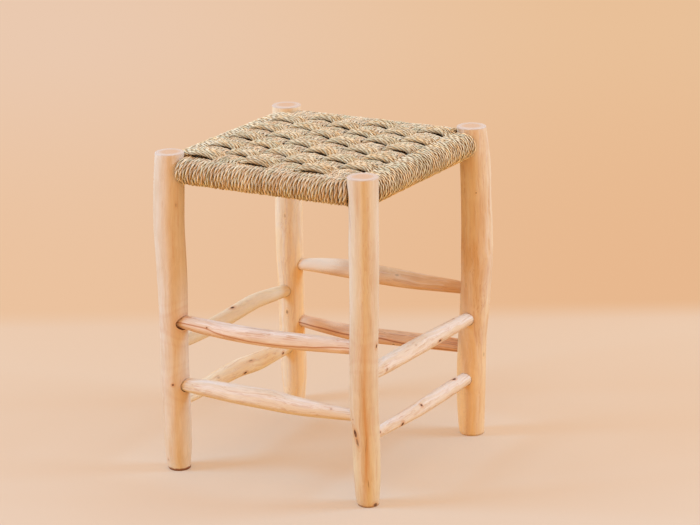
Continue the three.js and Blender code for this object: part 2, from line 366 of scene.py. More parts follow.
class GroupMaker:
    """Builds one shared node group with named inputs and outputs."""

    KINDS = {"v": "NodeSocketVector", "f": "NodeSocketFloat", "c": "NodeSocketColor"}

    def __init__(self, name: str, inputs: dict[str, str], outputs: dict[str, str]) -> None:
        """Makes the group and its sockets.

        Args:
            name: The group's name.
            inputs: The kind of each input, by its name.
            outputs: The kind of each output, by its name.
        """
        self.tree = bpy.data.node_groups.new(name, "ShaderNodeTree")
        for side, sockets in (("INPUT", inputs), ("OUTPUT", outputs)):
            for socket, kind in sockets.items():
                self.tree.interface.new_socket(socket, in_out=side, socket_type=self.KINDS[kind])
        self.wiring = Wiring(self.tree)
        given = self.tree.nodes.new("NodeGroupInput").outputs
        self.inputs = [Signal(self.wiring, given[socket]) for socket in inputs]
        self.result = self.tree.nodes.new("NodeGroupOutput")

    def finish(self, *outputs: Signal) -> bpy.types.NodeTree:
        """Joins the outputs.

        Args:
            outputs: What each output shows, in the order of the outputs.

        Returns:
            The finished group.
        """
        for number, signal in enumerate(outputs):
            self.wiring.feed(self.result, number, signal)
        return self.tree


def knot_group() -> bpy.types.NodeTree:
    """A knot in peeled wood: a dark core inside a stained halo, at one place on a pole.

    Returns:
        The group. Its reach is the distance from the knot's middle in half sizes.
    """
    sockets = {"Place": "v", "Centre": "v", "Bearing": "f", "Lean": "f", "Half Size": "v"}
    maker = GroupMaker("Knot", sockets, {"Core": "f", "Halo": "f", "Reach": "f"})
    place, centre, bearing, lean, half_size = maker.inputs
    facing = (place - centre).turned("Z", bearing * -1.0)
    reach = (facing.turned("X", lean) / half_size).length()
    ragged = reach + (place.speckle(RAGGED_RATE, 4, 0.7) - 0.5) * RAGGED_SHARE
    return maker.finish(ragged.eased(*CORE_EDGE, 1, 0), ragged.eased(*HALO_EDGE, 1, 0), reach)


def grain_group() -> bpy.types.NodeTree:
    """Peeled and sanded wood with its grain along local Z: colour, roughness and a fine relief.

    Returns:
        The group.
    """
    maker = GroupMaker("Peeled Grain", {"Place": "v", "Shift": "v", **GRAIN_INPUTS}, SURFACE)
    place, shift, pale, tan, line, bleached, patchiness, lines, bleach, coarseness = maker.inputs
    w = maker.wiring
    place = place + shift
    bends = w.signal("TexNoise", {"Vector": place * BEND_RATES, "Scale": 1.0}, "Color")
    place = place + (bends - (0.5, 0.5, 0.5)) * BEND_REACH

    def drawn(across: float, along: float, detail: float, roughness: float = 0.6) -> Signal:
        """Noise that is drawn out along the pole."""
        return (place * (across, across, along)).speckle(1, detail, roughness)

    patches, bands, fibres = drawn(*PATCH_NOISE), drawn(*BAND_NOISE), drawn(*FIBRE_NOISE)
    hairs, flecks = drawn(*HAIR_NOISE), drawn(*FLECK_NOISE)
    streaks, cracks = drawn(*STREAK_NOISE), drawn(*CRACK_NOISE)
    crack = (cracks - 0.52).step("ABSOLUTE").eased(0.0, 0.035, 1, 0) * bands.eased(0.45, 0.58)
    colour = w.coats(
        pale,
        (patches.eased(0.34, 0.68) * patchiness, tan),
        (bands.eased(0.42, 0.72) * (patchiness * 0.45), tan),
        (streaks.eased(0.48, 0.6) * bleach, bleached),
        (fibres.eased(0.5, 0.74) * lines, line),
        (crack * lines, line),
        (flecks.eased(0.7, 0.82) * (lines * 0.8), line),
    )
    roughness = fibres.eased(0.2, 0.8, 0.62, 0.74) + coarseness * 0.1
    height = (fibres * 0.7 + hairs * 0.3 - crack * 0.5) * (coarseness + 0.35)
    return maker.finish(colour * hairs.eased(0.2, 0.8, 0.94, 1.05), roughness, height)


def cut_end_group() -> bpy.types.NodeTree:
    """The cut end of a pole: growth rings about its pith, warm inside and pale at the rim.

    Returns:
        The group.
    """
    sockets = {"Place": "v", "Pith": "v", "Radius": "f", "Rim": "c", "Heart": "c"}
    maker = GroupMaker("Cut End", sockets, {"Color": "c"})
    place, pith, radius, rim, heart = maker.inputs
    w = maker.wiring
    drift = (place.speckle(90, 3) - 0.5) * RING_DRIFT
    share = ((place - pith) * (1, 1, 0)).length() / radius + drift
    rings = (share * RING_RATE).step("SINE").eased(-0.2, 1, 0, 0.3)
    ring_colour = w.mix(0.5, heart, RING_COLOUR)
    return maker.finish(w.coats(rim, (share.eased(0.45, 0.82, 0.62, 0), heart), (rings, ring_colour)))


def rope_group() -> bpy.types.NodeTree:
    """Twisted leaf fibre: strips that run along the rope, and painted shade in the valleys between its
    plies.

    Returns:
        The group.
    """
    marks = {mark.title(): "f" for mark in TURN_MARKS}
    maker = GroupMaker("Twisted Fibre", {"Turn": "v", "Place": "v", **marks, **ROPE_INPUTS}, SURFACE)
    turn, place, tone, exposure, fresh, facing, *finish = maker.inputs
    straw, green, amber, brown, bright, crevice, length, rounds = finish
    w = maker.wiring
    along, around, _ = turn.split()
    angle = (around + along * rounds) * (2 * math.pi)
    metres = along * length
    drawn = w.vector(angle.step("COSINE") + tone * 40, angle.step("SINE"), metres * 60)
    strips = (drawn * STRIP_RATES).speckle(1, 3, 0.6)
    strands = (drawn * STRAND_RATES).speckle(1, 3, 0.65)
    hairs = (drawn * HAIR_RATES).speckle(1, 2, 0.6)
    patches = place.speckle(30, 2, 0.5)
    section = (around * (2 * math.pi * PLIES)).step("COSINE")
    leaf_place = w.vector((around * PLIES).step("FLOOR") * 9.7, tone * 53, metres * 12)
    leaf = w.signal("TexNoise", {"Vector": leaf_place, "Scale": 1.0, "Detail": 1.0}, "Color")
    hue, shade, _ = leaf.split()

    # The leaf's colour, brighter where the rope lies round a roll, with painted light on a roll's upper
    # part and a painted warm bounce on its lower part
    rolled = exposure.eased(1.0, 1.4)
    green_share = (hue + patches).eased(1.02, 1.18, 0, 0.65).step("MAXIMUM", fresh)
    colour = w.coats(straw, (green_share, green), (hue.eased(0.49, 0.39, 0, 0.7), amber))
    lift = shade.eased(0.32, 0.68, 0.86, 1.1) * tone.eased(0, 1, 0.88, 1.1)
    lift = lift * (rolled * crevice * 0.16 + 1.0)
    level = place.split()[2]
    # Painted light on a roll's upper part, and painted warm bounce on its lower part
    pale = rolled * level.eased(*PAINTED_LIGHT_HEIGHTS) * (crevice * 0.4 + 0.12)
    painted_bounce = rolled * level.eased(*PAINTED_BOUNCE_HEIGHTS) * crevice
    tints = [lift * (pale * light_gain + painted_bounce * bounce_gain + 1.0) for light_gain, bounce_gain in ROLL_LIGHT_TINTS]

    # Brown and bright fibres, calmer where the rope is painted pale or fresh, then a painted highlight on
    # each ply's crest and painted shade in the valleys between the plies, in the gaps between the turns and
    # where the rope dives under a crossing band
    calm = 1.0 - pale * 1.2
    smooth = (1.0 - fresh * 0.6) * calm
    # Painted shade in the gaps between neighbouring turns
    gap = facing.eased(0.4, 0.9, 1, 0) * crevice * exposure.eased(0.9, 1.4, 0.2, 1)
    colour = w.coats(
        colour * w.vector(*tints),
        (strips.eased(0.5, 0.66, 0, 0.45) * (rolled * calm), brown),
        (strands.eased(0.5, 0.6, 0, 0.7) * smooth, brown),
        (strands.eased(0.46, 0.38, 0, 0.75), bright),
        (hairs.eased(0.55, 0.7, 0, 0.5), bright),
        # Painted highlight on the crest of each ply
        (section.eased(-0.5, -1.0) * 0.2, bright),
        # Painted shade in the valleys between the plies
        (section.eased(0.1, 0.9) * ((crevice * 0.3 + 0.25) * calm), brown),
        (gap, brown),
        # Painted shade where the rope dives under a crossing band
        (exposure.eased(0.16, 0.66, 0.84, 0), brown),
    )
    return maker.finish(colour, hairs.eased(0.2, 0.8, 0.7, 0.9), hairs * 0.4 - strands)


class Groups:
    """The node groups that the finishes share, each built once."""

    def __init__(self) -> None:
        """Builds them."""
        self.grain = grain_group()
        self.knot = knot_group()
        self.cut_end = cut_end_group()
        self.rope = rope_group()


def new_material(name: str) -> tuple[bpy.types.Material, Wiring]:
    """An empty material, and the wiring of its nodes.

    Args:
        name: The material's name.

    Returns:
        The material and its wiring.
    """
    material = bpy.data.materials.new(name)
    material.use_nodes = True
    return material, Wiring(material.node_tree)


@dataclass(frozen=True)
class Knot:
    """A knot on a pole, at a distance along it and a bearing round it, in metres and degrees."""

    along: float
    bearing: float
    length: float = 0.004
    width: float = 0.003
    lean: float = 0
    depth: float = 1
    is_stain: bool = False

    @property
    def half_size(self) -> Vector:
        """Half its size outward, round the pole and along it."""
        return Vector((self.width, self.width / 2, self.length / 2))


@dataclass(frozen=True)
class PlacedKnot:
    """A knot with the centre that it has in its pole's own coordinates."""

    knot: Knot
    centre: Vector


@dataclass(frozen=True)
class CutEnd:
    """The pith and size of a pole's upper cut end."""

    pith: Vector
    radius: float


@dataclass(frozen=True)
class WoodFinish:
    """Peeled wood with its own grain, knots and cut ends."""

    name: str
    pale: Colour = paint(226, 208, 191)
    tan: Colour = paint(208, 174, 140)
    line: Colour = paint(196, 134, 88)
    core: Colour = paint(84, 44, 26)
    halo: Colour = paint(206, 138, 84)
    rim: Colour = paint(214, 201, 192)
    heart: Colour = paint(212, 168, 126)
    bleached: Colour = paint(238, 226, 218)
    patches: float = 0.55
    lines: float = 0.3
    bleach: float = 0.3
    coarseness: float = 0.25
    relief: float = 0.5
    gloss: float = 0.35
    foot_shade: Colour = paint(124, 60, 10)
    foot: float = 0
    foot_edge: float = 0
    grain: Grain = Grain.OBJECT
    turn: tuple[float, float, float] = (0, 0, 0)

    def material(
        self,
        groups: Groups,
        knots: Sequence[PlacedKnot] = (),
        end: CutEnd | None = None,
        has_split: bool = False,
    ) -> bpy.types.Material:
        """Builds the material.

        Args:
            groups: The shared node groups.
            knots: The knots on this pole.
            end: Its cut end, where one shows.
            has_split: True where the pole has a drying split in its attribute.

        Returns:
            The material.
        """
        coat = WoodCoat(self, groups)
        if self.foot_edge:
            coat.add_foot()
        for placed in knots:
            coat.add_knot(placed)
        if has_split:
            coat.add_split()
        if end:
            coat.add_end(end)
        coat.wiring.surface(coat.made, self.relief, self.gloss)
        return coat.material


# A knot's halo: its darkness and its height. Its core: its depth
HALO_SHARE, HALO_HEIGHT, CORE_DEPTH = 0.55, 0.8, 1.5
# The ripples of grain round a knot: how close and strong they are, and their end in half sizes
RIPPLE_RATE, RIPPLE_SHARE, RIPPLE_END = 7, 0.2, 4.5
# A drying split's dark core and stained edge, and the warmer painted shade below it: half widths and shares
SPLIT_CORE, SPLIT_CORE_SHARE, SPLIT_DEPTH = 0.0007, 0.2, 2.0
SPLIT_EDGE, SPLIT_EDGE_SHARE = (0.0004, 0.002), 0.75
SPLIT_SHADE_START, SPLIT_SHADE_END, SPLIT_SHADE_SHARE = (0.0, 0.002), (0.016, 0.008), 0.14
# The heights between which a post grows warmer, the colour's change, and how ragged the painted shade on
# its foot's edge is
FOOT_HEIGHTS, FOOT_WARMTH, FOOT_SHADE_RAGGED = (0.24, 0.02), (1.02, 0.92, 0.66), 0.004
# The heights where that painted shade ends and where it is full: the least, and what a fully shaded foot
# adds
FOOT_SHADE_END, FOOT_SHADE_FULL = (0.003, 0.0045), (0.002, 0.003)
# How far below a post's top its cut end starts and ends in the rounded rim
END_START, END_FULL = 0.0021, 0.0006


class WoodCoat:
    """A pole's material while it is built up, mark by mark, over the grain of its finish."""

    def __init__(self, finish: WoodFinish, groups: Groups) -> None:
        """Starts with the grain alone.

        Args:
            finish: The wood's finish.
            groups: The shared node groups.
        """
        self.finish, self.groups = finish, groups
        self.material, self.wiring = new_material(finish.name)
        self.place = self.grain_place()
        # Each finish reads another part of the noise, chosen by its name
        shift = Vector((len(finish.name) * 0.37, sum(map(ord, finish.name)) * 0.013, 0.11))
        values = {name: getattr(finish, name.lower()) for name in GRAIN_INPUTS}
        self.made = self.wiring.group(groups.grain, {"Place": self.place, "Shift": shift, **values})

    def grain_place(self) -> Signal:
        """The coordinates of the grain.

        Returns:
            A place with the grain's direction along Z.
        """
        if self.finish.grain is Grain.STRAIGHT:
            return self.wiring.attribute("straight", "Vector")
        own = self.wiring.signal("TexCoord", output="Object")
        if self.finish.turn == (0, 0, 0):
            return own
        return self.wiring.signal("Mapping", {"Vector": own, "Rotation": self.finish.turn})

    def tint(self, share: Signal, colour: Signal | Colour) -> None:
        """Lays a colour over the wood."""
        self.made["Color"] = self.wiring.mix(share, self.made["Color"], colour)

    def add_foot(self) -> None:
        """Warms the wood towards its foot, and paints shade on the edge that stands on the floor."""
        height, foot_shading = self.place.split()[2], self.finish.foot_edge
        self.tint(height.eased(*FOOT_HEIGHTS, 0, self.finish.foot), self.made["Color"] * FOOT_WARMTH)
        # Painted shade along the lowest edge of the foot, where it meets the floor
        ragged = height + self.place.speckle(200, 3) * FOOT_SHADE_RAGGED
        edge = ragged.eased(*(least + more * foot_shading for least, more in (FOOT_SHADE_END, FOOT_SHADE_FULL)))
        self.tint(edge * foot_shading, self.finish.foot_shade)

    def add_knot(self, placed: PlacedKnot) -> None:
        """Adds one knot or stain, with ripples of grain round it.

        Args:
            placed: The knot and its centre.
        """
        knot, finish = placed.knot, self.finish
        middle = {"Place": self.place, "Centre": placed.centre, "Half Size": knot.half_size}
        angles = {"Bearing": math.radians(knot.bearing), "Lean": math.radians(knot.lean)}
        marks = self.wiring.group(self.groups.knot, {**middle, **angles})
        core, halo = marks["Core"] * knot.depth, marks["Halo"] * (HALO_SHARE * knot.depth)
        ripple = (marks["Reach"] * RIPPLE_RATE).step("SINE") * (RIPPLE_SHARE * min(1.0, 2 * knot.depth))
        ripple = ripple * marks["Reach"].eased(1, RIPPLE_END, 1, 0)
        self.tint(halo, finish.halo)
        self.tint(ripple.step("MAXIMUM", 0.0), finish.line)
        self.tint(core, finish.halo if knot.is_stain else finish.core)
        if not knot.is_stain:
            self.made["Height"] = self.made["Height"] - core * CORE_DEPTH + halo * HALO_HEIGHT

    def add_split(self) -> None:
        """Adds a dark drying split where the pole's attribute is near zero, and warmer painted shade below
        it.
        """
        below = self.wiring.attribute("split")
        gap = below.step("ABSOLUTE")
        core = gap.eased(0.0, SPLIT_CORE, SPLIT_CORE_SHARE, 0)
        # Painted shade, warmer, on the side below the split
        underside = below.eased(*SPLIT_SHADE_START) * below.eased(*SPLIT_SHADE_END)
        self.tint(underside * SPLIT_SHADE_SHARE, self.finish.halo)
        self.tint(gap.eased(*SPLIT_EDGE, SPLIT_EDGE_SHARE, 0), self.finish.line)
        self.tint(core, self.finish.core)
        self.made["Height"] = self.made["Height"] - core * SPLIT_DEPTH

    def add_end(self, end: CutEnd) -> None:
        """Adds the cut end's rings above the height of its rim.

        Args:
            end: The cut end.
        """
        shape = {"Place": self.place, "Pith": end.pith, "Radius": end.radius}
        colours = {"Rim": self.finish.rim, "Heart": self.finish.heart}
        above = self.place.split()[2].eased(end.pith.z - END_START, end.pith.z - END_FULL)
        self.tint(above, self.wiring.group(self.groups.cut_end, {**shape, **colours})["Color"])


@dataclass(frozen=True)
class RopeFinish:
    """Coarse rope of three twisted plies of leaf fibre."""

    name: str
    straw: Colour = paint(240, 222, 190)
    green: Colour = paint(204, 198, 160)
    amber: Colour = paint(224, 180, 134)
    brown: Colour = paint(114, 74, 28)
    bright: Colour = paint(244, 230, 208)
    # How strong the painted shade between turns and in the ply valleys is, and the painted light and bounce
    # round a roll
    crevice: float = 0.25
    length: float = 0.7
    rounds: int = 24
    relief: float = 0.8
    gloss: float = 0.3

    def material(self, groups: Groups) -> bpy.types.Material:
        """Builds the material, which reads the rope's UV map and the marks of its turns.

        Args:
            groups: The shared node groups.

        Returns:
            The material.
        """
        material, w = new_material(self.name)
        inputs = {"Turn": w.signal("TexCoord", output="UV"), "Place": w.signal("TexCoord", output="Object")}
        inputs.update({mark.title(): w.attribute(mark) for mark in TURN_MARKS})
        inputs.update({name: getattr(self, name.lower()) for name in ROPE_INPUTS})
        w.surface(w.group(groups.rope, inputs), self.relief, self.gloss)
        return material


# How often the lumps, flats and knobs of handwork change round a pole and along it
FLATS_ROUND, KNOBS_ROUND = 2.6, 1.6
LUMPS_ALONG, FLATS_ALONG, KNOBS_ALONG = 22, 7, 80
# How far a drying split wanders, in radians, and how often along the pole
SPLIT_WANDER, SPLIT_TURNS = 0.05, 60


@dataclass
class Pole:
    """A peeled pole: straight staves, cut into rings, swollen and bent into its own shape."""

    name: str
    girth: float
    stations: Sequence[float]
    girth_shares: Sequence[float]
    bend_shares: Sequence[float]
    knots: tuple[Knot, ...] = ()
    sides: int = 48
    rings: int = 120
    rim: float = 0.0012
    lump: float = 0.011
    facet: float = 0.008
    knob: float = 0
    seed: float = 0

    def length(self) -> float:
        """From end to end."""
        raise NotImplementedError

    def placement(self) -> Matrix:
        """Where the pole's own axes lie: local Z runs along it."""
        raise NotImplementedError

    def station(self, along: float) -> float:
        """The share of its stations at a distance along it."""
        raise NotImplementedError

    def bend(self, along: float) -> Vector:
        """How far the axis lies off the straight line there."""
        raise NotImplementedError

    def start(self) -> float:
        """Where the pole begins along its own axis."""
        return 0.0

    def split_distance(self, along: float, angle: float) -> float:
        """How far round the pole a place lies from a drying split: far away where there is none."""
        return 1.0

    def plain_radius(self, along: float) -> float:
        """Its radius at a distance along it, without the marks of handwork."""
        return self.girth / 2 * smooth_along(self.stations, self.girth_shares, self.station(along))

    def radius(self, along: float, angle: float) -> float:
        """The radius at a place on its skin.

        Args:
            along: The distance along the pole.
            angle: The bearing round it, in radians.

        Returns:
            The radius, with the lumps, flats and knobs of handwork.
        """
        x, y = math.cos(angle), math.sin(angle)
        lump = self.lump * wobble(x + self.seed, y, along * LUMPS_ALONG)
        facet = self.facet * wobble(FLATS_ROUND * x, FLATS_ROUND * y + self.seed, along * FLATS_ALONG)
        knob = self.knob * wobble(KNOBS_ROUND * x, KNOBS_ROUND * y, along * KNOBS_ALONG + self.seed)
        return self.plain_radius(along) * (1 + lump + facet + knob)

    def straight_point(self, along: float, angle: float) -> Vector:
        """A place on the skin of the unbent pole."""
        radius = self.radius(along, angle)
        return Vector((radius * math.cos(angle), radius * math.sin(angle), along))

    def skin_point(self, along: float, angle: float) -> Vector:
        """A place on the skin of the finished pole."""
        return self.placement() @ (self.straight_point(along, angle) + self.bend(along))

    def shaped_mesh(self) -> bpy.types.Mesh:
        """Builds the pole's skin.

        Returns:
            A closed mesh in the stool's frame, with the unbent place of each vertex.
        """
        bm = bmesh.new()
        bmesh.ops.create_cone(bm, cap_ends=True, segments=self.sides, radius1=1, radius2=1, depth=1)
        staves = [edge for edge in bm.edges if abs(edge.verts[0].co.z - edge.verts[1].co.z) > 0.5]
        rims = [edge for edge in bm.edges if edge not in set(staves)]
        bmesh.ops.subdivide_edges(bm, edges=staves, cuts=self.rings)
        layers = bm.verts.layers
        layers.float_vector.new("straight")
        layers.float.new("split")
        straight, split = layers.float_vector["straight"], layers.float["split"]
        placement = self.placement()
        for vert in bm.verts:
            along = self.start() + (vert.co.z + 0.5) * self.length()
            angle = math.atan2(vert.co.y, vert.co.x)
            point = self.straight_point(along, angle)
            vert[straight] = point
            vert[split] = self.split_distance(along, angle)
            vert.co = placement @ (point + self.bend(along))
        bmesh.ops.bevel(
            bm, geom=rims, offset=self.rim, segments=3, profile=0.5, affect="EDGES", material=-1
        )
        return mesh_from(bm, self.name)

    def placed_knots(self, is_unbent: bool) -> list[PlacedKnot]:
        """The centre of each knot, on the unbent pole or on the finished one."""
        point = self.straight_point if is_unbent else self.skin_point
        return [PlacedKnot(knot, point(knot.along, math.radians(knot.bearing))) for knot in self.knots]


POST_STATIONS = (0, 0.022, 0.067, 0.12, 0.22, 0.33, 0.42, 0.51, 0.6, 0.69, 0.78, 0.89, 1)
RUNG_STATIONS = (0, 0.12, 0.3, 0.5, 0.7, 0.88, 1)


@dataclass
class Post(Pole):
    """A corner post. Its bow runs along one direction in plan, and it stands on the floor."""

    corner: Vector = field(default_factory=Vector)
    height: float = 0
    bow_direction: Vector = field(default_factory=lambda: Vector((math.cos(math.pi / 6), 0.5, 0)))

    def length(self) -> float:
        """Its height."""
        return self.height

    def placement(self) -> Matrix:
        """Upright on its corner."""
        return Matrix.Translation(self.corner)

    def station(self, along: float) -> float:
        """The share of its height."""
        return along / self.height

    def bend(self, along: float) -> Vector:
        """The bow at a height."""
        bow = smooth_along(self.stations, self.bend_shares, self.station(along))
        return self.bow_direction * (bow * self.girth)

    def axis_point(self, height: float) -> Vector:
        """The point on its axis at a height."""
        return self.placement() @ (self.bend(height) + Vector((0, 0, height)))

    def cut_end(self) -> CutEnd:
        """The end that shows at its top."""
        return CutEnd(self.axis_point(self.height), self.plain_radius(self.height))


@dataclass(frozen=True)
class Mouth:
    """Where a rung enters one of its posts.

    Its face is the distance along the rung, and inward is 1 at the rung's first end and -1 at its
    last. The gap and the drift are the mortise's room across the rung and its shift to one side.
    """

    face: float
    inward: int
    girth: float
    gap: float
    drift: float


@dataclass
class Rung(Pole):
    """A rung between two posts, tapered to tenons that sit in their mortises."""

    height: float = 0
    tilt_share: float = 0
    ends: tuple[str, str] = ("", "")
    tenon: float = 0.024
    mortise_gap: float = 0.0003
    mortise_drop: float = 0.0001
    mortise_ease: float = 1.012
    mortise_overhang: float = 0.014
    first_gap: float = 0.0003
    first_drift: float = 0
    # How wide and how dark the collar round each mortise mouth is: partly a stain, partly painted shade
    # from the gap
    collar_share: float = 1.2
    stain: float = 0.12
    split: tuple[tuple[float, float], ...] = ()
    posts: dict[str, Post] = field(default_factory=dict)

    def __post_init__(self) -> None:
        """Finds its line between the two posts."""
        first, second = (self.posts[end] for end in self.ends)
        tilt = self.tilt_share * self.girth / 2
        self.from_point = first.axis_point(self.height - tilt)
        self.to_point = second.axis_point(self.height + tilt)
        self.span = (self.to_point - self.from_point).length
        self.face_start = first.plain_radius(self.height)
        self.face_end = self.span - second.plain_radius(self.height)

    def start(self) -> float:
        """Where its first tenon ends in the post."""
        return self.face_start - self.tenon

    def length(self) -> float:
        """From the end of one tenon to the end of the other."""
        return self.face_end + self.tenon - self.start()

    def placement(self) -> Matrix:
        """From its first post to its second.

        Returns:
            The placement, with local Y up and local Z along the rung.
        """
        forward = (self.to_point - self.from_point).normalized()
        across = Vector((0, 0, 1)).cross(forward).normalized()
        turn = Matrix((across, forward.cross(across), forward)).transposed().to_4x4()
        return Matrix.Translation(self.from_point) @ turn

    def station(self, along: float) -> float:
        """The share of the way from post face to post face."""
        return (along - self.face_start) / (self.face_end - self.face_start)

    def bend(self, along: float) -> Vector:
        """How far it sags or rises there."""
        sag = smooth_along(self.stations, self.bend_shares, self.station(along))
        return Vector((0, sag * self.girth, 0))

    def split_distance(self, along: float, angle: float) -> float:
        """How far round the pole a place lies from its drying split.

        Args:
            along: The distance along the rung.
            angle: The bearing round it, in radians.

        Returns:
            The distance in metres, positive below the split.
        """
        if not self.split:
            return 1.0
        stations, bearings = zip(*self.split)
        wander = SPLIT_WANDER * wobble(self.seed, along * SPLIT_TURNS, 0.3)
        bearing = math.radians(smooth_along(stations, bearings, along)) + wander
        turn = (angle - bearing + math.pi) % (2 * math.pi) - math.pi
        return turn * self.girth / 2

    def mouth(self, end: str) -> Mouth:
        """Where it enters a post.

        Args:
            end: The post's name.

        Returns:
            The mouth of its mortise there.
        """
        if end == self.ends[0]:
            return Mouth(self.face_start, 1, self.girth_shares[0], self.first_gap, self.first_drift)
        return Mouth(self.face_end, -1, self.girth_shares[-1], self.mortise_gap, 0.0)

    def mortise(self, end: str) -> bmesh.types.BMesh:
        """The hole that this rung needs in one of its posts.

        Args:
            end: The post's name.

        Returns:
            A plain round cutter, a little wider and deeper than the tenon.
        """
        mouth = self.mouth(end)
        depth = self.tenon + mouth.gap + self.mortise_overhang
        middle = mouth.face + mouth.inward * self.mortise_overhang - mouth.inward * depth / 2
        drift = Matrix.Translation(Vector((mouth.drift, -self.mortise_drop, middle)))
        radius = mouth.girth * self.girth / 2 * self.mortise_ease
        oval = Matrix.Diagonal((1 + mouth.gap / radius, 1 + self.mortise_gap / radius, 1, 1))
        return round_cutter(radius, depth, self.placement() @ drift @ oval)

    def collar(self, end: str) -> PlacedKnot:
        """The darker wood round the mouth of its mortise in one of its posts, partly a stain and partly
        painted shade from the gap.

        Args:
            end: The post's name.

        Returns:
            The stain, as a flat knot on the post.
        """
        mouth = self.mouth(end)
        heading = (self.to_point - self.from_point) * mouth.inward
        size = self.girth * self.collar_share * mouth.girth
        bearing = math.degrees(math.atan2(heading.y, heading.x))
        stain = Knot(self.height, bearing, size, size, depth=self.stain, is_stain=True)
        middle = Vector((mouth.drift, -self.mortise_drop, mouth.face))
        return PlacedKnot(stain, self.placement() @ middle)


CUTTER_SIDES = 40


def round_cutter(radius: float, depth: float, placement: Matrix) -> bmesh.types.BMesh:
    """A plain round cutter.

    Args:
        radius: Its radius.
        depth: Its length.
        placement: Where its middle and its axis, local Z, go.

    Returns:
        The cutter.
    """
    bm = bmesh.new()
    bmesh.ops.create_cone(
        bm, cap_ends=True, segments=CUTTER_SIDES, radius1=radius, radius2=radius, depth=depth
    )
    bmesh.ops.transform(bm, matrix=placement, verts=bm.verts)
    return bm


def bored(
    mesh: bpy.types.Mesh, cutters: Sequence[bmesh.types.BMesh], wall: bpy.types.Material
) -> bpy.types.Mesh:
    """Cuts round holes in a pole.

    Args:
        mesh: The whole pole, with its material.
        cutters: The solids to take away, none of which meet.
        wall: The material of the holes' walls.

    Returns:
        The pole with its mortises.
    """
    pole = new_object("bored_pole", mesh)
    tools = []
    for cutter in cutters:
        tool = new_object("cutter", mesh_from(cutter, "cutter"))
        dress(tool, wall)
        cut = pole.modifiers.new("mortise", "BOOLEAN")
        cut.operation = "DIFFERENCE"
        cut.solver = "EXACT"
        cut.material_mode = "TRANSFER"
        cut.object = tool
        tools.append(tool)
    result = evaluated(pole)
    for spare in (pole, *tools):
        bpy.data.objects.remove(spare)
    return result


